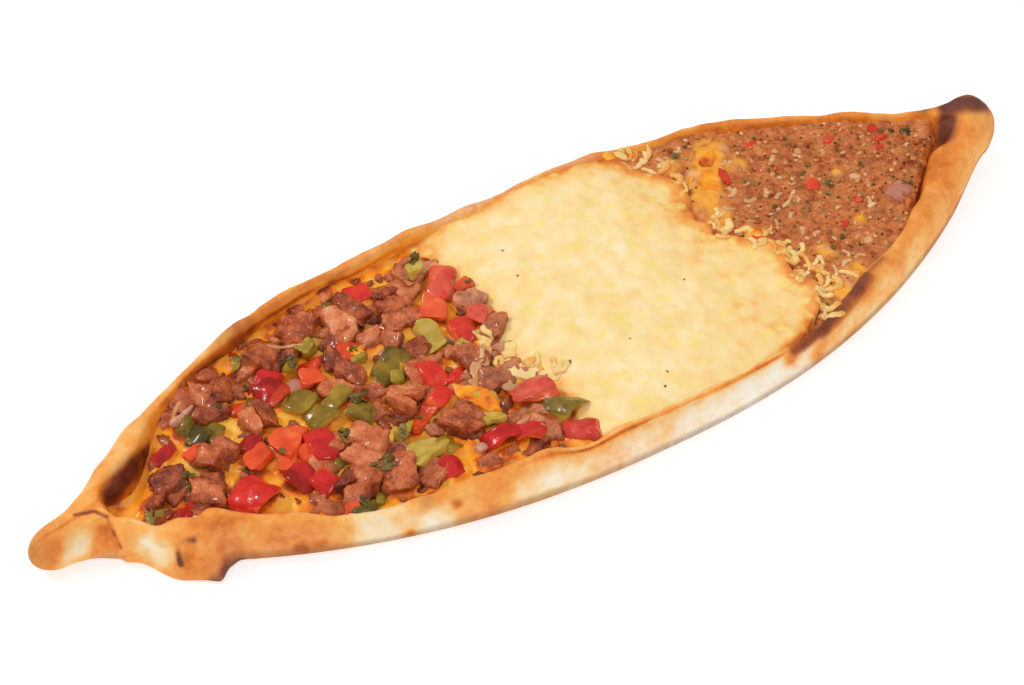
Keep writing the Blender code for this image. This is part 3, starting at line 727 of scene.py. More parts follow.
def tuckAndPinch(x, y, z, outside):
    # the overlapping dough end, the finger marks and the lip under the edge, all on the near side
    up = np.clip(z / rimAt(x, near)[3], 0, 1)
    start, deepest, end, gone, depth = dough["tuck"]
    hollow = smooth(start, deepest, x) * (1 - smooth(end, gone, x))
    y = y + depth * hollow * np.cos(math.pi / 2 * up) ** 0.6 * outside
    start, end, proud = dough["lap"]
    y = y - proud * smooth(start - 0.8, start + 0.4, x) * (1 - smooth(start, end, x)) * outside
    for key in ("pinch", "crease"):
        place, width, depth, height, reach = dough[key]
        y = y + depth * bell(x, place, width) * bell(z, height, reach) * outside
    place, spread, depth, height = dough["undercut"]
    return y + depth * bell(x, place, spread, 4) * (1 - smooth(height * 0.5, height, z)) * outside


def closedOver(x):
    # 0 where the pie is open, 1 where the dough has grown together into one hump
    return shut(x, *dough["humpEnds"])


def doughRings(x):
    # the closed sections of the dough at each x, with the angle share and side of every column
    nearAngle, farAngle = ((1 - np.cos(np.linspace(0, math.pi, count + 1)))[None, :] * math.pi / 2
                           for count in dough["arcSteps"])
    nearY, nearZ = rimArc(x, near, nearAngle)
    farY, farZ = rimArc(x, far, farAngle)
    nearY = tuckAndPinch(x, nearY, nearZ, 1.0 * (nearAngle < math.pi / 2))
    share = (np.arange(1, dough["floorSteps"] + 1) / (dough["floorSteps"] + 1))[None, :]
    y = np.concatenate([nearY, mix(nearY[:, -1:], farY[:, -1:], share), farY[:, ::-1]], 1)
    z = np.concatenate([nearZ, mix(nearZ[:, -1:], farZ[:, -1:], share), farZ[:, ::-1]], 1)

    middle = dough["rimShare"]
    over = np.concatenate([nearAngle[0] * middle, math.pi * mix(middle, 1 - middle, share[0]),
                           math.pi - farAngle[0, ::-1] * middle])[None, :]
    nearFoot, farFoot = feet(x)
    height = mix(rimAt(x, near)[3], rimAt(x, far)[3], smooth(0.2, 0.8, over / math.pi))
    height = height + dough["humpHeight"]
    base = mix(*dough["footRounding"], tipness(x))
    humpY = mix(nearFoot, farFoot, (1 - np.cos(over)) / 2)
    humpZ = base + (height - base) * np.sin(over) ** dough["humpFullness"]
    humpY = tuckAndPinch(x, humpY, humpZ, 1.0 * (over < math.pi * 0.35))
    y, z = mix(y, humpY, closedOver(x)), mix(z, humpZ, closedOver(x))

    inset = mix(*dough["footInset"], tipness(x))
    share = np.linspace(0, 1, dough["bottomSteps"] + 1)[None, :]
    bottomY = mix(farFoot - inset, nearFoot + inset, share)
    level, *swell = dough["bottomUneven"]
    bottomZ = level + swell[0] * flatNoise(x, bottomY, *swell[1:])
    counts = (nearY.shape[1], dough["floorSteps"], farY.shape[1], bottomZ.shape[1])
    parts = {label: slice(int(end) - count, int(end)) for label, count, end
             in zip(("near", "floor", "far", "bottom"), counts, np.cumsum(counts))}
    y, z = np.concatenate([y, bottomY], 1), np.concatenate([z, bottomZ], 1)
    return y, z, parts, {"near": nearAngle / math.pi, "far": farAngle[:, ::-1] / math.pi}


def awayFrom(points, line):
    # distance of each point from a line through a few places
    away = np.full(points.shape[:-1], 1e3)
    for start, end in zip(np.array(line, float), np.array(line[1:], float)):
        along = end - start
        t = np.clip((points - start) @ along / (along @ along), 0, 1)
        away = np.minimum(away, np.linalg.norm(points - start - t[..., None] * along, axis=-1))
    return away


def nearTo(points, spot, radius, power):
    return bell(np.linalg.norm(points - spot, axis=-1), 0, radius, power)


def bakeDough(x, points, parts, angles):
    # how baked, scorched, oily and floured every point is, where shade is painted into creases and under
    # edges, how much relief it takes, and its blisters
    marks = {key: np.zeros(points.shape[:2]) for key in ("bakeAndShade", "charAndShade", "oil", "flour", "give", "raise")}
    closed = closedOver(x)
    for side, label in ((near, "near"), (far, "far")):
        here, at = parts[label], angles[label]
        crest, wall = bell(at, *rimBands["crest"]), rimBands["nearWall"]
        if side == far:
            crest = np.maximum(crest, 1.0 * (at > 0.5))
            wall = mix(*rimBands["farWall"], bell(x, -70, 40, 4))
        inner = smooth(wall, wall + rimBands["wallSoft"], at) * (1 - closed)
        bakeAndShade = mix(tableAt(x, browningAndShade[label + "Outer"]), tableAt(x, browningAndShade[label + "Crest"]),
                   np.maximum(crest, closed * smooth(*rimBands["grown"], at)))
        if side == near:
            bakeAndShade = mix(bakeAndShade, streak, tableAt(x, browningAndShade["nearLine"]) * bell(at, *rimBands["nearLine"]))
        bakeAndShade = mix(bakeAndShade, tableAt(x, browningAndShade[label + "Inner"]), inner)
        dusted = mix(0.08, 0.92, smooth(-40, 14, x)) * (1 - smooth(60, 84, x)) * smooth(-165, -150, x)
        top = mix(*rimBands["flourTop"], smooth(60, 100, x))
        flour = (1 - smooth(0.1, top, at)) * dusted
        low, high = rimBands["still"]
        marks["give"][:, here] = (1 - smooth(*low, at) * (1 - closed)) * smooth(*high, at)
        # a dark line along the outer foot: painted contact shadow as well as the toasted bottom edge
        charAndShade = 0.52 * (1 - smooth(*rimBands["foot"], at)) * smooth(-150, -140, x)
        if side == far:
            # painted shade: a dark line in the crease under the far crest
            bakeAndShade = mix(bakeAndShade, streak, tableAt(x, browningAndShade["farCreaseShade"]) * bell(at, *rimBands["farCreaseShade"]))
            flour += 0.3 * bell(at, *rimBands["farFlour"]) * smooth(-60, 0, x) * (1 - smooth(50, 62, x))
            line = 0.8 * tableAt(x, browningAndShade["farLine"]) * bell(at, *rimBands["farLine"])
            charAndShade = np.maximum(charAndShade, line)
        for key, mark in (("bakeAndShade", bakeAndShade), ("oil", inner), ("flour", flour), ("charAndShade", charAndShade)):
            marks[key][:, here] = mark
        for spotX, spotSide, spotAt, radius, height in blisters:
            if spotSide == side:
                row = int(np.argmin(np.abs(x[:, 0] - spotX)))
                column = here.start + int(np.argmin(np.abs(at[0] - spotAt)))
                blister = nearTo(points[:, here], points[row, column], radius, 2.6)
                marks["raise"][:, here] += height * blister * mm
    floor, bottom = parts["floor"], parts["bottom"]
    marks["bakeAndShade"][:, bottom] = 0.5
    marks["flour"][:, bottom] = 0.4
    marks["bakeAndShade"][:, floor] = mix(0.7, 0.56, closed)
    marks["oil"][:, floor] = 0.4 * (1 - closed)
    marks["give"][:, floor] = closed
    # baked spots, and painted shade in the hollow by the lapped dough end
    for *spot, radius, value in bakedAndShadedSpots:
        share = nearTo(points, spot, radius, 3)
        marks["bakeAndShade"] = mix(marks["bakeAndShade"], value, 0.9 * share)
        marks["flour"] = marks["flour"] * (1 - share)
    for *spot, radius, strength in charSpots:
        marks["charAndShade"] = np.maximum(marks["charAndShade"], strength * nearTo(points, spot, radius, 2.4))
    # painted shade in creases, the pocket and under edges, and toasted streaks: darker and more baked
    for line, radius, strength in shadeAndCharLines:
        share = bell(awayFrom(points, line), 0, radius, 4.4)
        marks["charAndShade"] = np.maximum(marks["charAndShade"], strength * share)
        marks["bakeAndShade"] = np.maximum(marks["bakeAndShade"], 0.8 * share)
    return marks


def makeDough():
    steps = np.linspace(-1, 1, dough["stations"] + 1)
    eased = mix(steps, np.sin(steps * math.pi / 2), dough["stationEasing"])
    x = (eased * (dough["halfLength"] - dough["tipInset"]))[:, None]
    y, z, parts, angles = doughRings(x)
    past = np.maximum(np.abs(x) - (dough["halfLength"] - dough["tipRounding"]), 0)
    size = np.sqrt(np.maximum(1 - (past / dough["tipRounding"]) ** 2, 0))
    axisY = sum(feet(x)) / 2
    axisZ = (rimAt(x, near)[3] + rimAt(x, far)[3]) / 4 + 1.0
    points = np.stack([np.broadcast_to(x, y.shape), mix(axisY, y, size),
                       mix(axisZ, z, size) + liftAt(x)], -1)
    marks = bakeDough(x, points, parts, angles)

    rows, columns = y.shape
    flat = points.reshape(-1, 3)
    flat = np.concatenate([flat, [flat[:columns].mean(0), flat[-columns:].mean(0)]])
    faces = ringFaces(rows, columns).tolist()
    last = (rows - 1) * columns
    for i in range(columns):       # a fan closes each end
        j = (i + 1) % columns
        faces += [[i, j, rows * columns], [last + j, last + i, rows * columns + 1]]
    marks = {key: np.append(mark.ravel(), [mark[0].mean(), mark[-1].mean()]) for key, mark in marks.items()}
    return relieved("bakedCrust", flat, faces, marks, dough["relief"], coats["dough"])


# fillings

# swells are size, depth and seed; relief is size and depth
bed = {
    "start": -168.0, "end": 8.0, "rows": 300, "columns": 190,
    "level": 11.0, "cornerLevel": 9.6, "belowRim": (2.4, 2.2), "sink": 1.8, "climb": 2.2,
    "swells": ((15.0, 0.9, 3), (6.0, 0.35, 4)),
    "cornerSlant": 0.3, "cornerRise": (-161, -151), "cornerOilAndShade": (-156, -146),
    "cling": 1.6, "clingReach": 1.4, "wallRise": (0.8, 1.5),
    # oil darkens the bed along the walls; at the feet of the pieces and in the far-left corner the darkening
    # is painted shade as well as oil
    "oil": {"atWall": 0.22, "wallReach": 4.0, "oilAndShadeAtFeet": 0.3, "corner": 0.06, "else": -0.04},
    "relief": {"Swell": (6, 0.35), "Ripple": (2.0, 0.1), "Lump": (3, 0.0), "Seed": 5.0},
}
cheese = {
    # its two edges as y: x
    "left": {-60: -25, -47: -22, -38: -15, -29: -15, -20: -19, -10: -22, -1: -21, 8: -18, 21: -17, 30: -18,
             45: -23, 58: -29},
    "right": {-60: 62, -57: 67, -54: 75, -50: 83, -46: 86, -41: 88, -33: 84, -25: 87, -17: 88, -12: 86,
              -7: 80, 1: 72, 10: 72, 20: 74, 31: 77, 36: 74, 44: 70, 52: 66, 60: 60},
    "leftLobes": ((9.0, 2.6, 11), (5.0, 1.2, 12)), "rightLobes": ((8.0, 2.4, 13), (4.2, 1.2, 14)),
    "halfWidth": 58.0, "rows": 230, "columns": 230, "rowEasing": 0.6,
    "belowRim": (0.1, 0.7), "dome": 2.2, "ramp": 22.0, "step": 0.5, "rounding": (1.8, 2.4), "sink": 1.8,
    "lap": (2.4, 0.6), "lapChange": (40, 60), "swells": ((16.0, 0.5, 15),), "cling": 0.5,
    "wallDrop": (0.5, 1.5),
    "relief": {"Swell": (9, 0.45), "Ripple": (3.4, 0.05), "Lump": (4.6, 0.16), "Seed": 14.0},
}
mince = {
    "start": 60.0, "end": 178.0, "rows": 270, "columns": 210, "corner": 167.0, "slant": 1.1,
    "belowRim": 2.6, "dome": 1.3, "sink": 1.8, "cornerDrop": 6, "tone": 0.45,
    "swells": ((9.0, 0.7, 8),), "crumbsFrom": (76, 80),
    # orange cheese run into it: x, y, reach
    "pools": [(96, 41, 6), (91, 35, 7.5), (85, 28, 7.5), (80, 20, 6), (79, 11, 4.5), (78, 42, 4),
              (84, -4, 4), (100, -24, 4), (93, -43, 6), (121, -18, 2.6), (104, -37, 5), (100, 28, 3),
              (128, 6, 2)],
    "poolEdge": (3.5, 0.8, 19), "poolRise": 0.9,
    "relief": {"Swell": (5.5, 0.5), "Ripple": (2.0, 0.2), "Lump": (3.0, 0.5), "Seed": 9.0},
}
slab = {"bottom": 5.6, "leastDepth": 0.6, "lowColumns": 5}
minceSide = 20.0      # toppings beyond this x lie on the mince
toppingNodes = [name for name in sorted(frame["nodes"])
                if name not in ("crust", "cheese_bed", "melted_cheese", "minced_meat")]


# the diced toppings, laid out before the fillings so that cheese can cling to them

# square is how square a piece is (2 is an egg), sag that of a thin slice, uneven how far its corners stray,
# lump and fibre are a size and a depth, film is how much cheese it takes, shrink is against its CAD solid
toppings = {
    "meat": {"piece": "dicedMeat", "coat": "meat", "high": 8.6, "square": 6.5, "sag": 0.0, "uneven": 0.33,
             "lump": (3.8, 1.05), "fibre": (1.6, 0.75), "lean": 0.16, "film": 1.0, "shrink": (0.86, 0.92)},
    "red_pepper": {"piece": "redPepper", "coat": "red", "high": 3.6, "square": 6.0, "sag": 2.0,
                   "uneven": 0.26, "lump": (4.6, 0.9), "fibre": (2.0, 0.22), "stands": 0.7},
    "green_pepper": {"piece": "greenPepper", "coat": "green", "high": 3.6, "square": 6.0, "sag": 1.9,
                     "uneven": 0.26, "lump": (4.6, 0.9), "fibre": (2.0, 0.22), "stands": 1.3},
    "tomato": {"piece": "tomatoPieces", "coat": "tomato", "high": 5.0, "square": 3.2, "sag": 0.6,
               "uneven": 0.2, "lump": (5.0, 0.9), "fibre": (2.0, 0.25)},
    "onion": {"piece": "onionPieces", "coat": "onion", "high": 3.0, "square": 3.5, "sag": 1.2,
              "uneven": 0.15, "lump": (5.0, 0.5), "fibre": (2.0, 0.1), "film": 1.0},
}
otherwise = {"lean": 0.22, "film": 0.45, "shrink": (0.96, 1.04), "stands": 0.0}
toppings = {kind: {**otherwise, **rule} for kind, rule in toppings.items()}

# pieces beside those of the CAD model: x, y, length, width, turn in degrees, how far the top stands up
moreToppings = {
    "meat": [(-52, 4, 14, 8, 70, 5.0), (-20, -4, 12, 9, 10, 3.6), (-31, -33, 11, 8, 20, 3.5),
        (-38, -46, 12, 8, 5, 3.4), (-88, 32, 12, 9, 25, 4.5), (-122, -9, 15, 9, 25, 4.0),
        (-142, -14, 10, 8, 20, 3.4), (-87, -27, 13, 11, 40, 5.0), (-53, 20, 9, 7, 30, 4.0),
        (-71, -38, 10, 9, 30, 4.0), (-25, -11, 10, 8, 40, 3.2), (-104, 33, 9, 7, 0, 3.6),
        (-133, -4, 9, 8, 10, 4.4), (-147, -3, 8, 7, 0, 4.0), (-70, 2, 8, 7, 0, 4.0),
        (-126, 32, 9, 7, 45, 3.2), (-52, 36, 8, 6, 0, 3.2), (-69, 45, 7, 6, 0, 3.0)],
    "red_pepper": [(-20, 15, 11, 10, 50, 5.4), (-85, 19, 11, 8, 70, 5.0), (-75, 3, 15, 3.4, 30, 4.6),
        (-96, -9, 13, 9, 80, 5.6), (-52, -12, 12, 6, 30, 4.8), (-43, -6, 7, 5, 0, 3.6),
        (-134, 8, 7, 5, 30, 4.4), (-101, -38, 6, 3.5, 0, 4.4), (-134, -22, 10, 7, 10, 4.0),
        (-100, 20, 13, 8, 20, 5.4), (-35, -41, 10, 5, -20, 4.6)],
    "tomato": [(-112, 21, 7, 6, 0, 3.0), (-103, -1, 10, 8, 30, 4.0)],
    "green_pepper": [(-29, 45, 8, 6, 20, 7.4), (-102, 39, 6, 5, 0, 4.0), (-88, 27, 6, 4, 30, 7.0),
        (-131, 22, 12, 6, 40, 4.0), (-79, 31, 6.5, 5, 20, 6.0), (-67, 19, 7, 4, 10, 4.4),
        (-84, 5, 13, 6, 20, 4.6), (-33, 5, 5, 4, 10, 3.6), (-71, -19, 7, 4, 40, 4.4),
        (-58, 5, 9, 5, 60, 5.0), (-125, 15, 9, 6, 30, 3.6), (-98, -40, 9, 4, -10, 3.6),
        (-61, -31, 8, 6, 20, 3.0)],
    "onion": [(-130, 26, 11, 3, 30, 4.4), (-84, 36, 12, 2.4, 60, 6.2)],
}
cutSideUp = {"red_pepper": (2, 5, 11, 12), "green_pepper": (5, 6, 7)}     # by CAD number

# small pieces in the gaps
fillers = {
    # in order: how many, half sizes, how far they may crowd (1 is not at all)
    "rounds": [(34, (3.0, 4.6), 0.62), (36, (2.0, 3.0), 0.76), (44, (0.9, 1.8), 0.9)],
    "kinds": {"meat": 70, "red_pepper": 12, "green_pepper": 8, "tomato": 7, "onion": 3},
    "x": (-158, -10), "y": (-56, 52), "cornerEdge": -155.0, "wallLevel": 12.0, "tries": 12000,
}


def footprint(name):
    # middle, turn, half sizes and top of a topping of the CAD model
    points = np.array([v.co for v in frame["nodes"][name].data.vertices]) / mm
    flat = points[:, :2]
    middle = (flat.max(0) + flat.min(0)) / 2
    axes = np.linalg.eigh(np.cov((flat - middle).T))[1]
    half = np.abs((flat - middle) @ axes).max(0)
    return middle, math.atan2(axes[1, 1], axes[0, 1]), half[::-1], points[:, 2].max()


def shareAcross(x, y):
    # 0 at the near foot of the dough, 1 at the far one
    nearFoot, farFoot = feet(x)
    return np.clip((y - nearFoot) / (farFoot - nearFoot), 0, 1)


def bedLevel(x, y):
    level, share = uneven(bed["level"], x, y, bed["swells"]), shareAcross(x, y)
    most = mix(rimAt(x, near)[3] - bed["belowRim"][0], rimAt(x, far)[3] - bed["belowRim"][1], share)
    level = np.minimum(level + bed["climb"] * smooth(0.75, 1.0, share), most)
    return mix(bed["cornerLevel"], level, smooth(*bed["cornerRise"], x - bed["cornerSlant"] * y))


def covers(piece):
    # circles that stand for a piece when others are laid beside it
    x, y, long, wide, turn = (piece[key] for key in ("x", "y", "long", "wide", "turn"))
    count = max(1, round(long / wide))
    steps = (np.arange(count) - (count - 1) / 2) * (2 * long - 2 * wide) / max(count - 1, 1)
    return [(x + step * math.cos(turn), y + step * math.sin(turn), wide) for step in steps]


def wholePiece(name):
    # how a topping of the CAD model lies
    kind, number = name.rsplit("_", 1)
    rule = toppings[kind]
    middle, turn, half, top = footprint(name)
    half = half * rule["shrink"]
    if middle[0] > minceSide:
        top = minceLevel(*middle) + 1.0
    else:
        top = min(top, bedLevel(*middle) + 7.2)
    return {"kind": kind, "x": middle[0], "y": middle[1], "long": half[0], "wide": half[1],
            "high": rule["high"], "turn": turn, "top": float(top + rule["stands"]), "cuts": 14,
            "skinUp": int(number) not in cutSideUp.get(kind, ())}


def layHeap():
    dice = random.Random(23)
    heap = []
    for name in toppingNodes:
        whole = wholePiece(name)
        x, y, long, wide, turn = (whole[key] for key in ("x", "y", "long", "wide", "turn"))
        if whole["kind"] != "meat" or long < 5.9:
            heap.append(whole)
            continue
        for way in (-1, 1):
            # a large lump of meat is two dice that have stuck together
            share = mix(0.46, 0.62, dice.random())
            step = way * long * (1 - share)
            narrow, broad = sorted((long * share, wide * dice.uniform(0.8, 1.0)))
            heap.append({**whole, "x": x + step * math.cos(turn), "y": y + step * math.sin(turn),
                         "long": broad, "wide": narrow, "turn": turn + dice.uniform(-0.5, 0.5)
                         + (math.pi / 2 if long * share < broad else 0),
                         "top": whole["top"] - dice.choice((0.0, 0.6, 1.6))})
    for kind, places in moreToppings.items():
        for x, y, long, wide, turn, rise in places:
            heap.append({"kind": kind, "x": x, "y": y, "long": long / 2, "wide": wide / 2,
                         "high": min(toppings[kind]["high"], rise + 4.0), "turn": math.radians(turn),
                         "top": float(bedLevel(x, y)) + rise, "cuts": 12, "skinUp": dice.random() < 0.6})
    fillGaps(heap, dice)
    return heap


def fillGaps(heap, dice):
    taken = [circle for piece in heap for circle in covers(piece)]
    for left, sizes, closeness in fillers["rounds"]:
        for _ in range(fillers["tries"]):
            x, y, r = dice.uniform(*fillers["x"]), dice.uniform(*fillers["y"]), dice.uniform(*sizes)
            low, high = (float(innerWall(np.array(x), side, fillers["wallLevel"])) for side in (near, far))
            edge = float(cheeseEdges(np.array(y))[0])
            fromCorner = x - bed["cornerSlant"] * y
            if not low + r < y < high - 0.6 * r or fromCorner < fillers["cornerEdge"] or x > edge + 3.0:
                continue
            if any(math.hypot(x - a, y - b) < closeness * (r + c) for a, b, c in taken):
                continue
            kind = dice.choices(list(fillers["kinds"]), list(fillers["kinds"].values()))[0]
            if kind != "meat" and r < 1.6:
                kind = "meat" if dice.random() < 0.6 else kind
            rise = r * dice.uniform(0.55, 1.0) + 0.5 + 3.0 * max(0.0, min(1.0, (x - edge) / 9))
            heap.append({"kind": kind, "x": x, "y": y, "long": r * dice.uniform(1.0, 1.35), "wide": r,
                         "high": min(2 * r * dice.uniform(0.7, 1.0), toppings[kind]["high"]),
                         "turn": dice.uniform(0, math.pi), "top": float(bedLevel(x, y)) + rise,
                         "cuts": 9 if r > 2.4 else 6, "skinUp": dice.random() < 0.6})
            taken.append((x, y, r))
            left -= 1
            if left == 0:
                break


def cubeGrid(cuts):
    # points all over a cube from -1 to 1 and its outward faces
    index, points, faces = {}, [], []
    for axis, end, i, j in itertools.product(range(3), (0, cuts), range(cuts), range(cuts)):
        face = []
        for a, b in ((i, j), (i + 1, j), (i + 1, j + 1), (i, j + 1)):
            spot = [a, b]
            spot.insert(axis, end)
            if tuple(spot) not in index:
                index[tuple(spot)] = len(points)
                points.append(spot)
            face.append(index[tuple(spot)])
        outwards = (end > 0) == (axis != 1)
        faces.append(face if outwards else face[::-1])
    return np.array(points) * 2 / cuts - 1, faces


def newPile():
    return {"points": [], "faces": [], "marks": {}, "count": 0}


def addShape(pile, points, faces, marks):
    pile["faces"] += [[i + pile["count"] for i in face] for face in faces]
    pile["points"].append(points)
    pile["count"] += len(points)
    for key, value in marks.items():
        pile["marks"].setdefault(key, []).append(np.broadcast_to(value, (len(points),)))


def pilePiece(pile, name, coat):
    marks = {key: np.concatenate(values) for key, values in pile["marks"].items()}
    return meshPiece(name, np.concatenate(pile["points"]), pile["faces"], coat, marks)


def roundedBlock(points, square):
    # a cube's points brought in to a block that is the rounder the lower square is
    return points / (np.abs(points) ** square).sum(1)[:, None] ** (1 / square)


def cutPiece(piece, dice):
    # one diced piece: a rounded uneven block with a lumpy, fibrous surface
    rule = toppings[piece["kind"]]
    points, faces = grids[piece["cuts"]]
    half = np.array([piece["long"], piece["wide"], piece["high"] / 2])
    block = roundedBlock(points, rule["square"])
    normals = np.sign(block) * np.abs(block) ** (rule["square"] - 1) / half
    normals /= np.linalg.norm(normals, axis=1)[:, None]
    shape = block.copy()
    for corner in itertools.product((-1, 1), repeat=3):
        weight = np.prod(0.5 + 0.5 * block * corner, axis=1)[:, None]
        shape += weight * [dice.uniform(-1, 1) * rule["uneven"] * 2 for _ in range(3)]
    shape *= half
    bend = dice.uniform(0.5, 1.3) * rule["sag"] * (1 if piece["skinUp"] else -1)
    shape[:, 2] -= bend * (shape[:, 0] / 5.5) ** 2 * (1 if piece["long"] > 2.5 else 0.3)
    shift = np.array([dice.uniform(-90, 90) for _ in range(3)])
    amount = min(1.0, half.min() / 2.0 + 0.25)
    size, depth = rule["lump"]
    push = depth * noiseAt(shape + shift, size, 21)
    size, depth = rule["fibre"]
    turn = dice.uniform(0, math.pi)
    grain = np.array([math.cos(turn), math.sin(turn), 0])
    stretched = shape + shift - 0.6 * (shape @ grain)[:, None] * grain
    ridges = 0.3 - np.abs(noiseAt(stretched, size, 22)) + 0.5 * noiseAt(shape + shift, 1.1, 23)
    push = push + depth * ridges
    shape = shape + normals * (push * amount)[:, None]
    lean = rule["lean"]
    turned = Euler((dice.uniform(-lean, lean), dice.uniform(-lean, lean), piece["turn"])).to_matrix()
    placed = shape @ np.array(turned).T
    placed += [piece["x"], piece["y"], piece["top"] - placed[:, 2].max()]
    skin = smooth(0.0, 0.5, normals[:, 2] if piece["skinUp"] else -normals[:, 2])
    # a film of cheese on the pieces beside it, and a darker roast towards the low tip
    film = smooth(-40, -20, piece["x"]) * dice.uniform(0.1, 0.8) * (0.3 + 0.7 * np.maximum(normals[:, 2], 0))
    film = film * rule["film"] * (piece["x"] < minceSide)
    tone = dice.random() + 0.3 * smooth(-130, -40, piece["x"]) - 0.16
    return placed, faces, {"tone": tone, "skin": skin, "milk": film}


def makeToppings(kind, heap):
    dice = random.Random(len(kind) * 31)
    pile = newPile()
    for piece in heap:
        if piece["kind"] == kind:
            addShape(pile, *cutPiece(piece, dice))
    nodes = [name for name in toppingNodes if name.rsplit("_", 1)[0] == kind]
    rule = toppings[kind]
    return pilePiece(pile, rule["piece"], coats[rule["coat"]]), nodes


def skirts(x, y, heap):
    # 1 at the foot of a topping, falling away from it: cheese clings there
    total = np.zeros(np.broadcast(x, y).shape)
    for piece in heap:
        if piece["x"] > minceSide:
            continue
        along, side = math.cos(piece["turn"]), math.sin(piece["turn"])
        dx, dy = x - piece["x"], y - piece["y"]
        reach = ((np.abs(dx * along + dy * side) / piece["long"]) ** 3
                 + (np.abs(dy * along - dx * side) / piece["wide"]) ** 3) ** (1 / 3)
        away = np.maximum((reach - 1) * (piece["long"] + piece["wide"]) / 2, 0)
        total = np.maximum(total, np.exp(-away / bed["clingReach"]) * min(1.0, piece["wide"] / 3.0))
    return total


def lattice(start, end, rows, columns):
    # x along the pie and shares across it
    return np.linspace(start, end, rows)[:, None], np.linspace(0, 1, columns)[None, :]


def makeSlab(name, x, y, z, marks, rule, coat):
    # closes a surface (rows along X, columns across) into a solid filling
    points = np.stack([np.broadcast_to(x, y.shape), y, z], -1)
    rows, columns = y.shape
    low = slab["lowColumns"]
    bottom = mix(points[:, -1:], points[:, :1], (np.arange(low) / (low - 1))[None, :, None])
    bottom[..., 2] = np.minimum(slab["bottom"], bottom[..., 2] - slab["leastDepth"])
    flat = np.concatenate([points, bottom], 1).reshape(-1, 3)
    faces = tubeFaces(rows, columns + low)
    marks = {key: np.broadcast_to(mark, y.shape) for key, mark in marks.items()}
    marks = {key: np.concatenate([mark, np.zeros((rows, low))], 1).ravel() for key, mark in marks.items()}
    return relieved(name, flat, faces, marks, rule["relief"], coat)


def spanRims(x, share, level, sink):
    # y across the opening at a share, sunk a little into both dough walls
    return mix(innerWall(x, near, level) - sink, innerWall(x, far, level) + sink, share)


def fromEdge(y, share):
    return np.minimum(share, 1 - share) * (y[:, -1:] - y[:, :1])


def makeBed(heap):
    x, share = lattice(bed["start"], bed["end"], bed["rows"], bed["columns"])
    y = spanRims(x, share, bedLevel(x, mix(*feet(x), share)), bed["sink"])
    cling = skirts(x, y, heap)
    edge = fromEdge(y, share)
    wall = np.maximum(edge - bed["sink"], 0)
    rise, reach = bed["wallRise"]
    z = bedLevel(x, y) + bed["cling"] * (cling - 0.4) + rise * np.exp(-wall / reach) + liftAt(x)
    # darker in the far-left corner and at the feet of the pieces: painted shade as well as oil
    corner = 1 - smooth(*bed["cornerOilAndShade"], x - bed["cornerSlant"] * y)
    oil = bed["oil"]
    marks = {"give": 1.0 * (edge > bed["sink"]), "raise": 0.0, "where": np.clip(1 - cling * 2, 0, 1),
             "oil": oil["atWall"] * np.exp(-wall / oil["wallReach"]) + oil["oilAndShadeAtFeet"] * cling ** 2
             + oil["else"] + oil["corner"] * corner}
    return makeSlab("cheeseBed", x, y, z, marks, bed, coats["bed"])


def minceLevel(x, y):
    share = shareAcross(x, y)
    edge = mix(rimAt(x, near)[3], rimAt(x, far)[3], share) - mince["belowRim"]
    return uneven(edge + mince["dome"] * np.sin(math.pi * share), x, y, mince["swells"])


def makeMince():
    x, share = lattice(mince["start"], mince["end"], mince["rows"], mince["columns"])
    y = spanRims(x, share, minceLevel(x, mix(*feet(x), share)), mince["sink"])
    pastCorner = x - mince["corner"] - mince["slant"] * y
    z = minceLevel(x, y) + liftAt(x) - mince["cornerDrop"] * smooth(-3.5, 2.5, pastCorner)
    edge = fromEdge(y, share)
    size, depth, seed = mince["poolEdge"]
    melt = sum(bell(np.hypot(x - a, y - b), 0, reach, 3) for a, b, reach in mince["pools"])
    melt = np.clip(melt * (1 + depth * flatNoise(x, y, size, seed)), 0, 1)
    inside = smooth(1.5, 3.0, edge) * smooth(*mince["crumbsFrom"], x) * (1 - smooth(-4, 0, pastCorner))
    marks = {"give": smooth(0.5, 2.5, edge) * (1 - 0.6 * melt), "raise": mince["poolRise"] * melt * mm,
             "tone": mince["tone"], "melt": melt, "where": (1 - melt) * inside}
    return makeSlab("minceCore", x, y, z, marks, mince, coats["mince"])


def cheeseEdges(y):
    left = tableAt(y, cheese["left"]) + uneven(0.0, y, 0.0, cheese["leftLobes"])
    return left, tableAt(y, cheese["right"]) + uneven(0.0, y, 40.0, cheese["rightLobes"])


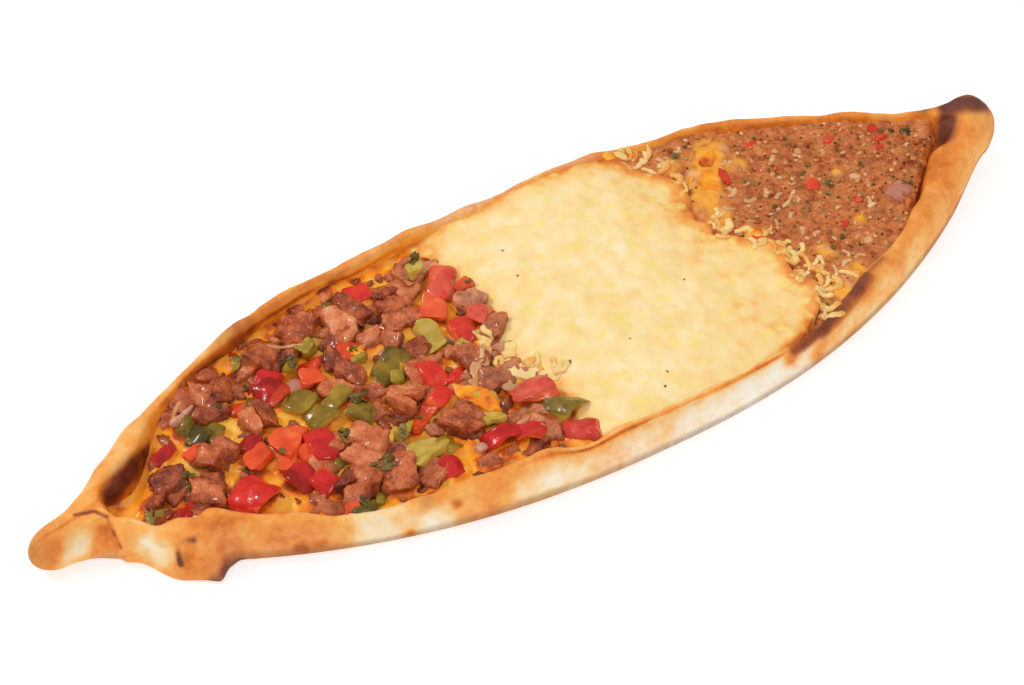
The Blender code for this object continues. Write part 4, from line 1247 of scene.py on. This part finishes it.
def makeMeltedCheese(heap):
    steps, share = lattice(0, 1, cheese["rows"], cheese["columns"])
    steps = mix(steps, (1 - np.cos(math.pi * steps)) / 2, cheese["rowEasing"])
    left, right = cheeseEdges(mix(-cheese["halfWidth"], cheese["halfWidth"], share))
    x = mix(left, right, steps)
    rim = mix(rimAt(x, near)[3] - cheese["belowRim"][0], rimAt(x, far)[3] - cheese["belowRim"][1], share)
    lap = mix(*cheese["lap"], smooth(*cheese["lapChange"], x))
    y = mix(innerWall(x, near, rim) - lap, innerWall(x, far, rim) + cheese["sink"], share)
    full = rim + cheese["dome"] * 4 * share * (1 - share)
    z = mix(bedLevel(x, y) + cheese["step"], full, smooth(0, cheese["ramp"], x - left))
    z = uneven(z, x, y, cheese["swells"])
    z = z + cheese["cling"] * (skirts(x, y, heap) - 0.2) * (1 - smooth(8, 24, x - left))
    edge = fromEdge(y, share)
    wall = np.maximum(edge - cheese["sink"], 0)
    drop, reach = cheese["wallDrop"]
    z = z - drop * np.exp(-wall / reach)
    fromLeft = np.clip((x - left) / cheese["rounding"][0], 0, 1)
    fromRight = np.clip((right - x) / cheese["rounding"][1], 0, 1)
    z = mix(bedLevel(x, y) - 0.8, z, np.sqrt(1 - (1 - fromLeft) ** 2))
    z = mix(np.minimum(minceLevel(x, y) - 0.6, z), z, np.sqrt(1 - (1 - fromRight) ** 2))
    oil = (mix(0.2, 0.5, share) * np.exp(-wall / mix(2.5, 4.5, share)) + 0.3 * (1 - smooth(0, 12, x - left))
           + 0.4 * (1 - smooth(0, 13, right - x)) + 0.16 * smooth(30, 66, x) - 0.02)
    marks = {"give": smooth(1.5, 4.0, edge) * smooth(0, 0.3, fromLeft) * smooth(0, 0.4, fromRight),
             "raise": 0.0, "where": smooth(2, 4, edge), "oil": oil}
    return makeSlab("meltedCheese", x, y, z, marks, cheese, coats["cheese"])


# loose bits on top: crumbs, herbs, cheese shreds

def makeShapes(label, shapes):
    # a collection of small shapes for scattering, kept out of the picture
    collection = bpy.data.collections.new(label)
    bpy.context.scene.collection.children.link(collection)
    for i, (points, faces) in enumerate(shapes):
        shape = meshPiece(f"{label}{i}", points, faces)
        bpy.context.scene.collection.objects.unlink(shape)
        collection.objects.link(shape)
    return collection


def scattered(name, surface, rule):
    # the shapes strewn over the part of a surface that its mark where allows
    collection = makeShapes(name, rule["shapes"])
    made = grown(name, surface, trees["scatter"], {
        "Least Gap": rule["gap"] * mm, "Per Square Metre": rule["perSquareMetre"], "Lean": rule["lean"],
        "Smallest": rule["sizes"][0], "Largest": rule["sizes"][1], "Lift": rule["lift"] * mm,
        "Seed": rule["seed"], "Shapes": collection, "Coat": coats[rule["coat"]]})
    for shape in list(collection.objects):
        bpy.data.objects.remove(shape)
    bpy.data.collections.remove(collection)
    return made


def crumbShape(seed):
    points, faces = cubeGrid(2)
    points = points / np.linalg.norm(points, axis=1)[:, None]
    dice = random.Random(seed)
    points = points * (1 + 0.4 * noiseAt(points + seed * 3.1, 0.9, seed)[:, None])
    return points * [dice.uniform(0.8, 1.3), dice.uniform(0.7, 1.0), dice.uniform(0.5, 0.75)], faces


def flakeShape(seed, long=6, wide=4):
    # a crinkled leaf scrap, two sheets closed round the edge
    dice = random.Random(seed)
    u, v = np.meshgrid(np.linspace(-1, 1, long), np.linspace(-1, 1, wide), indexing="ij")
    width = np.sqrt(np.maximum(1.05 - u ** 2, 0.05)) * (1 + 0.3 * np.sin(u * 7 + seed))
    x, y = u, v * width * dice.uniform(0.5, 0.8)
    z = 0.3 * noiseAt(np.stack([x, y, 0 * x + seed], -1), 0.7, seed) + 0.15 * u ** 2
    upper = np.stack([x, y, z + 0.07], -1)
    lower = np.stack([x, y, z - 0.07], -1)[:, ::-1]
    flat = np.concatenate([upper, lower], 1).reshape(-1, 3)
    return flat, pointedOut(flat, tubeFaces(long, 2 * wide))


# strewn over the mince: shapes about 2 mm across, made as many times larger or smaller as sizes says
strewn = {
    "minceCrumbs": {"shapes": [crumbShape(i) for i in range(6)], "coat": "mince", "slot": "mince",
                    "gap": 2.3, "perSquareMetre": 160000.0, "sizes": (0.6, 1.6), "lean": 0.5,
                    "lift": -0.3, "seed": 4},
    "pepperSpecks": {"shapes": [crumbShape(i) for i in range(3)], "coat": "speck", "slot": "mince",
                     "gap": 3.0, "perSquareMetre": 16000.0, "sizes": (0.25, 0.5), "lean": 0.6,
                     "lift": 0.35, "seed": 9},
    "paleCrumbs": {"shapes": [crumbShape(i + 10) for i in range(4)], "coat": "shred",
                   "slot": "melted_cheese", "gap": 4.0, "perSquareMetre": 34000.0, "sizes": (0.4, 1.1),
                   "lean": 0.6, "lift": 0.4, "seed": 15},
    "herbCrumbs": {"shapes": [flakeShape(i, 4, 3) for i in range(4)], "coat": "herb",
                   "slot": "green_pepper", "gap": 5.0, "perSquareMetre": 14000.0, "sizes": (0.4, 1.0),
                   "lean": 0.4, "lift": 0.5, "seed": 21},
}


def groundUnder(pieces):
    # height and slope of whatever lies on top at a place seen from above
    points, faces = [], []
    for piece in pieces:
        faces += [[i + len(points) for i in p.vertices] for p in piece.data.polygons]
        points += [v.co / mm for v in piece.data.vertices]
    surface = BVHTree.FromPolygons(points, faces)

    def ground(x, y):
        hit, normal = surface.ray_cast(Vector((x, y, 60.0)), Vector((0, 0, -1)))[:2]
        return (hit.z, normal) if hit else (10.0, Vector((0, 0, 1)))
    return ground


# chopped parsley on the dice and in the mince: x, y, half size
parsley = [
    (-102, 39, 2.4), (-88, -10, 2.6), (-90, -13, 2.0), (-77, -2, 3.2), (-79, 1, 2.4), (-52, 13, 1.6),
    (-83, -31, 3.2), (-86, -28, 2.4), (-105, 27, 1.4), (-133, 15, 1.6), (-141, -1, 2.4), (-142, -4, 1.8),
    (-74, 1, 2.2), (-36, 7, 2.0), (-28, 47, 2.4), (-71, -20, 2.6), (-15, 31, 1.2), (-66, 22, 2.2),
    (-124, -8, 2.6), (-89, 29, 2.4), (-63, -15, 1.4), (-97, -38, 2.2), (-60, 12, 1.6), (-110, -7, 1.4),
    (-118, 23, 1.4), (-46, -20, 1.2), (113, 8, 1.1), (123, 2, 1.8), (120, 0, 1.4), (148, -14, 1.6),
    (145, -12, 1.4), (164, 12, 2.0), (157, 16, 1.8), (161, 14, 1.8), (140, 31, 1.0), (122, 16, 1.2),
    (118, 13, 1.6), (165, 10, 1.6), (110, -21, 1.4), (98, 4, 1.3), (1, 34, 0.5), (-1, 21, 0.5),
    (15, -26, 0.45), (47, -12, 0.5), (13, -50, 0.5), (17, -45, 0.5), (-7, -22, 0.6), (75, 22, 0.6),
    (80, 27, 0.7), (103, -24, 1.2), (135, 12, 1.2), (83, 45, 1.8),
]

# cheese strands on the fillings: x, y, length, heading in degrees, curl
strands = [
    (-93, 38, 13, -25, -0.05), (-134, 24, 12, 35, 0.03), (-31, 1, 7, -40, -0.15), (-36, -10, 7, 130, 0.2),
    (91, 21, 7, -110, -0.2), (86, 16, 8, -20, 0.25), (83, 12, 8, 190, 0.2), (98, 19, 5, -80, 0.15),
    (101, 13, 5, -90, 0.2), (95, 3, 19, 24, -0.01), (111, 10, 5, -60, 0.25), (100, -9, 5, 20, 0.3),
    (102, -16, 5, 80, 0.3), (84, 4, 7, -60, -0.2), (103, -31, 7, -30, 0.25), (97, -38, 8, 10, 0.2),
    (107, -32, 6, 60, 0.25), (101, -36, 7, 20, -0.2), (123, 20, 4, 30, 0.25), (133, 0, 4, -60, 0.3),
    (92, 30, 6, -60, 0.2), (97, 25, 5, 30, 0.3), (90, 13, 6, -40, 0.25), (101, 5, 5, 70, -0.2),
    (94, -3, 6, -30, 0.2), (106, 1, 4, 10, 0.3), (99, -4, 5, 60, 0.2), (109, 24, 4, -70, 0.2),
    (115, -8, 4, 20, 0.3), (127, -12, 4, 10, 0.3), (76, 47, 8, -30, -0.2), (80, 41, 7, 60, 0.25),
    (85, 47, 6, -10, 0.3),
]

# curls of half melted cheese along its edge: x, y, length, heading, curl
curls = [
    (83, -9, 9, -30, 0.25), (87, -13, 8, -100, 0.25), (91, -19, 9, -60, -0.25), (87, -21, 8, 20, 0.3),
    (91, -26, 8, -120, 0.2), (85, -27, 9, -40, -0.3), (83, -33, 8, 30, 0.3), (87, -37, 9, -80, 0.2),
    (84, -43, 8, -110, -0.2), (81, -48, 8, -60, 0.2), (77, -1, 9, -60, 0.2), (74, 5, 8, -20, -0.25),
    (81, -5, 8, 10, 0.25), (74, 12, 8, -70, 0.2), (92, -31, 8, -10, 0.25), (96, -34, 8, -30, -0.25),
    (72, 51, 9, -50, 0.25), (76, 45, 8, -80, -0.3), (73, 42, 8, 20, 0.2), (68, 53, 7, 0, 0.2),
    (76, 32, 7, -40, 0.2), (-19, -15, 8, 20, 0.25), (-15, -20, 8, -60, 0.2), (-24, -9, 7, 80, -0.2),
    (-23, 3, 7, 120, 0.2),
]

# flat puddles of melted cheese: x, y, length, width, turn, thickness, coat
puddles = [
    (86, 27, 13, 8, 60, 0.8, "bed"), (93, 37, 10, 7, 40, 0.8, "bed"), (84, -4, 8, 5, -60, 0.8, "bed"),
    (-42, -19, 19, 7.5, -60, 2.4, "bed"), (-66, 22, 7, 5, 0, 0.8, "bed"),
    (-34, -6, 10, 6, 60, 0.7, "shred"), (-37, -12, 8, 6, 0, 0.7, "shred"),
    (-28, -1, 8, 5, 40, 0.7, "shred"), (-31, -18, 9, 5, -30, 0.7, "shred"),
    (-21, -16, 11, 6, -35, 0.8, "cheese"), (-15, -21, 9, 6, -40, 0.8, "cheese"),
    (-25, 5, 8, 5, 80, 0.7, "cheese"), (-20, -4, 8, 5, 50, 0.7, "cheese"),
    (65, 57.2, 8, 5, -24, 1.0, "cheese"), (69, 56.0, 6, 4, -50, 0.8, "bed"),
    (61, 57.5, 6, 4, -14, 0.8, "bed"),
]

# larger bits pressed into the mince, by coat: x, y, length, width, turn, how far they stand up
minceBits = {
    "red": [(118, 7, 8, 6, 30, 0.9), (155, 19, 7, 5, 60, 0.8), (154, 13, 5, 3, 20, 0.7),
        (91, 25, 8, 3, 70, 1.0), (83, -7, 7, 4, -30, 1.0), (127, -9, 5, 4, 40, 0.5),
        (150, 9, 4, 2.5, 10, 0.5), (111, 36, 6, 3, 10, 0.6), (105, 22, 4, 3, 10, 0.4),
        (115, -16, 5, 3, 30, 0.4), (137, 22, 4, 3, 0, 0.4)],
    "shred": [(113, 25, 3.4, 2.6, 30, 0.8), (123, 23, 3.6, 3, 70, 0.8), (133, 1, 5, 3, -40, 0.9),
        (129, -14, 4, 2.6, 0, 0.7), (100, -11, 3.6, 3, 0, 0.8), (116, 28, 2.6, 2, 0, 0.6),
        (144, 24, 2.6, 2, 20, 0.6), (149, -2, 3, 2, 60, 0.6), (117, -27, 4, 3, 10, 0.7),
        (108, 18, 3, 2.4, 30, 0.6), (142, 10, 3, 2, 0, 0.5), (160, 5, 3, 2, 10, 0.5),
        (148, 17, 3, 2, 0, 0.5), (131, 18, 3, 2, 50, 0.5), (97, 30, 3, 2, 0, 0.5)],
}


# how the loose bits are made; a flake of parsley is three scraps on one another
bits = {
    "herb": {"piece": "parsley", "slot": "green_pepper"},
    "shred": {"piece": "cheeseShreds", "slot": "melted_cheese"},
    "bed": {"piece": "orangeCheese", "slot": "cheese_bed"},
    "cheese": {"piece": "cheesePuddles", "slot": "melted_cheese"},
    "red": {"piece": "redBits", "slot": "red_pepper"},
}
strand = {"steps": 12, "sides": 6, "easing": 3, "flatness": 0.6, "blunt": 0.12, "uneven": (1.5, 0.55, 35)}
flake = {"scraps": 3, "stray": 0.6, "lean": 0.3, "sizes": (0.55, 0.85), "above": 0.15}
upright = Vector((0, 0, 1))


def laidBit(spot, thick, sunk, ground, dice, cuts=6, drape=True):
    # a thin rounded bit lying on the ground under it; a draped one follows it like melted cheese
    x, y, long, wide, turn = spot
    points, faces = grids[cuts]
    shape = roundedBlock(points, 2.6)
    swell = 1 + 0.34 * noiseAt(np.stack([shape[:, 0], shape[:, 1], 0 * shape[:, 0] + x + y], -1), 0.62, 31)
    shape = shape * [long / 2, wide / 2, thick / 2]
    shape[:, :2] *= swell[:, None]
    spun = Euler((0, 0, math.radians(turn) + dice.uniform(-0.2, 0.2))).to_matrix()
    spun = shape @ np.array(spun).T
    height, normal = ground(x, y)
    if drape:
        steps = [(0, 0), (1.4, 0), (-1.4, 0), (0, 1.4), (0, -1.4)]
        under = np.array([sum(ground(x + a + c, y + b + d)[0] for c, d in steps) / len(steps)
                          for a, b in spun[:, :2]])
        spun[:, 2] += mix(under, under.mean(), 0.35) + 0.25 * noiseAt(spun + [x, y, 0], 2.4, 33)
    else:
        tilt = upright.rotation_difference(normal.lerp(upright, 0.5)).to_matrix()
        spun = spun @ np.array(tilt).T
        spun[:, 2] += height
    return spun + [x, y, thick / 2 - sunk], faces


def strandShape(x, y, length, heading, curl, thick, ground, dice):
    # a soft blunt strand that lies over what is under it and bridges the dips
    steps, sides = strand["steps"], strand["sides"]
    angle = math.radians(heading)
    spots = []
    for _ in range(steps):
        spots.append((x, y, ground(x, y)[0]))
        angle += 0.8 * curl + dice.uniform(-0.3, 0.3)
        x, y = x + length / steps * math.cos(angle), y + length / steps * math.sin(angle)
    spots = np.array(spots)
    for _ in range(strand["easing"]):
        eased = spots.copy()
        eased[1:-1] = (spots[:-2] + 2 * spots[1:-1] + spots[2:]) / 4
        spots = np.column_stack([eased[:, :2], np.maximum(eased[:, 2], spots[:, 2] - 0.3)])
    ahead = np.gradient(spots, axis=0)
    aside = np.stack([-ahead[:, 1], ahead[:, 0], 0 * ahead[:, 0]], -1)
    aside /= np.linalg.norm(aside, axis=1)[:, None]
    fromEnd = np.minimum(np.arange(steps), np.arange(steps)[::-1]) * length / steps
    share = (fromEnd + strand["blunt"]) / thick
    width = thick * np.where(share > 1, 1, np.sqrt(np.clip(share * (2 - share), 0.1, 1)))
    size, depth, seed = strand["uneven"]
    at = np.stack([fromEnd, 0 * fromEnd + x, 0 * fromEnd + y], -1)
    width = (width * (1 + depth * noiseAt(at, size, seed)))[:, None, None]
    turn = (np.arange(sides) / sides * math.tau)[None, :, None]
    ring = (spots[:, None] + aside[:, None] * (np.cos(turn) * width)
            + np.array([0, 0, 1.0]) * (np.sin(turn) * strand["flatness"] + 0.1) * width)
    flat = ring.reshape(-1, 3)
    return flat, pointedOut(flat, tubeFaces(steps, sides))


def makeBits(ground):
    # parsley, strands, puddles and bits, one piece for each material
    dice = random.Random(41)
    piles = {key: newPile() for key in bits}

    def lay(key, shape, oil=0.0, skin=0.0):
        addShape(piles[key], *shape, {"oil": oil, "tone": dice.random(), "skin": skin, "milk": 0.0})

    flakes = [flakeShape(i) for i in range(5)]
    for x, y, size in parsley:
        for _ in range(flake["scraps"]):
            flat, faces = flakes[dice.randrange(len(flakes))]
            stray, lean = flake["stray"], flake["lean"]
            a, b = x + dice.uniform(-stray, stray) * size, y + dice.uniform(-stray, stray) * size
            height, normal = ground(a, b)
            spun = Euler([dice.uniform(*reach) for reach in ((-lean, lean), (-lean, lean), (0, 6))])
            turned = np.array(upright.rotation_difference(normal).to_matrix() @ spun.to_matrix())
            placed = (flat * size * dice.uniform(*flake["sizes"])) @ turned.T
            lay("herb", (placed + [a, b, height + flake["above"]], faces))
    for key, places, copies, thick in (("shred", strands, 1, (0.7, 1.05)), ("cheese", curls, 3, (0.8, 1.5))):
        for x, y, length, heading, curl in places:
            for _ in range(copies):
                shape = strandShape(x + dice.uniform(-1.8, 1.8), y + dice.uniform(-1.8, 1.8),
                                    length * dice.uniform(0.75, 1.15), heading + dice.uniform(-50, 50),
                                    curl * dice.choice((-1, 1, 1)), dice.uniform(*thick), ground, dice)
                lay(key, shape, dice.uniform(0.12, 0.42))
    for *spot, thick, key in puddles:
        lay(key, laidBit(spot, thick + 0.7, 0.75 + 0.35 * thick, ground, dice, 10), 0.16)
    for key, places in minceBits.items():
        for *spot, up in places:
            lay(key, laidBit(spot, 2.4, 2.4 - up, ground, dice, 6, False), 0.0, 0.5)
    return [(pilePiece(pile, bits[key]["piece"], coats[key]), [], bits[key]["slot"])
            for key, pile in piles.items()]


# build; each piece is listed with the CAD nodes that it stands for, which are hidden, and a slot name

grids = {cuts: cubeGrid(cuts) for cuts in (6, 9, 10, 12, 14)}
pieces = [(makeDough(), ["crust"], "crust")]
print("dough shell made")
heap = layHeap()
print(len(heap), "diced pieces laid out")
cheeseBed, minceCore, meltedCheese = makeBed(heap), makeMince(), makeMeltedCheese(heap)
pieces += [(cheeseBed, ["cheese_bed"], "cheese_bed"), (meltedCheese, ["melted_cheese"], "melted_cheese"),
           (minceCore, ["minced_meat"], "mince")]
print("fillings made")
pieces += [(*makeToppings(kind, heap), kind) for kind in toppings]
print("toppings made")
ground = groundUnder([piece for piece, nodes, slot in pieces])
pieces += [(scattered(name, minceCore, rule), [], rule["slot"]) for name, rule in strewn.items()]
pieces += makeBits(ground)
print("crumbs, herbs, strands and puddles made")

for piece, nodes, slot in pieces:
    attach(piece, "root")
    if nodes:
        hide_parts(*nodes)


# floor, light and camera

studio = {
    "cameraTurn": -32.1, "cameraRise": 45.0, "distance": 0.835, "aim": (-0.0165, 0.0, 0.010),
    "lens": 85.0, "sensor": 36.0, "floorHalf": 3000.0, "floorGlow": 0.56,
    "skyLow": 0.36, "skyHigh": 0.95, "skyInGloss": 0.4,
    # place in metres, width in metres, watts
    "lamps": {"windowLight": ((-0.8, 0.75, 1.15), 0.26, 7.2), "frontLight": ((0.1, -1.3, 0.9), 0.5, 3.6)},
}


def makeStudio():
    half = studio["floorHalf"]
    corners = np.array([(-half, -half, 0), (half, -half, 0), (half, half, 0), (-half, half, 0)])
    floorCoat = bpy.data.materials.new("whiteTable")
    floorCoat.use_nodes = True
    shader = floorCoat.node_tree.nodes["Principled BSDF"].inputs
    for name, value in {"Base Color": linear("c8c8c8"), "Roughness": 0.9, "Specular IOR Level": 0.1,
                        "Emission Color": linear("ffffff"),
                        "Emission Strength": studio["floorGlow"]}.items():
        shader[name].default_value = value
    floor = meshPiece("tableTop", corners, [[0, 1, 2, 3]], floorCoat)

    # a soft white room, brighter overhead, and plain white where the camera sees it
    world = bpy.data.worlds.new("softRoom")
    bpy.context.scene.world = world
    world.use_nodes = True
    tree = world.node_tree
    background = tree.nodes["Background"].inputs
    direction = addNode(tree, "ShaderNodeTexCoord", out="Generated")
    upwards = addNode(tree, "ShaderNodeSeparateXYZ", {"Vector": direction}, out="Z")
    sky = addNode(tree, "ShaderNodeMapRange", {"Value": upwards, "To Min": studio["skyLow"],
                                               "To Max": studio["skyHigh"]})
    seen = addNode(tree, "ShaderNodeLightPath", out="Is Camera Ray")
    shine = addNode(tree, "ShaderNodeMapRange", {"Value": seen.node.outputs["Is Glossy Ray"], "To Min": 1.0,
                                                 "To Max": studio["skyInGloss"]})
    sky = addNode(tree, "ShaderNodeMath", {"Value": sky, "Value_001": shine}, operation="MULTIPLY")
    strength = addNode(tree, "ShaderNodeMix", {"Factor_Float": seen, "A_Float": sky, "B_Float": 1.0},
                       data_type="FLOAT")
    tree.links.new(strength, background["Strength"])
    background["Color"].default_value = (1, 1, 1, 1)

    for name, (place, size, power) in studio["lamps"].items():
        light = bpy.data.lights.new(name, "AREA")
        light.shape = "DISK"
        light.size = size
        light.energy = power
        lamp = bpy.data.objects.new(name, light)
        bpy.context.scene.collection.objects.link(lamp)
        lamp.location = place
        lamp.rotation_euler = (-Vector(place)).to_track_quat("-Z", "Y").to_euler()

    turn, rise = math.radians(studio["cameraTurn"]), math.radians(studio["cameraRise"])
    back = Vector((math.sin(turn) * math.cos(rise), -math.cos(turn) * math.cos(rise), math.sin(rise)))
    camera = bpy.data.objects.new("camera", bpy.data.cameras.new("camera"))
    bpy.context.scene.collection.objects.link(camera)
    camera.data.lens = studio["lens"]
    camera.data.sensor_width = studio["sensor"]
    camera.location = Vector(studio["aim"]) + back * studio["distance"]
    camera.rotation_euler = (-back).to_track_quat("-Z", "Y").to_euler()
    bpy.context.scene.camera = camera
    bpy.context.scene.view_settings.view_transform = "Standard"


makeStudio()
print("studio made")
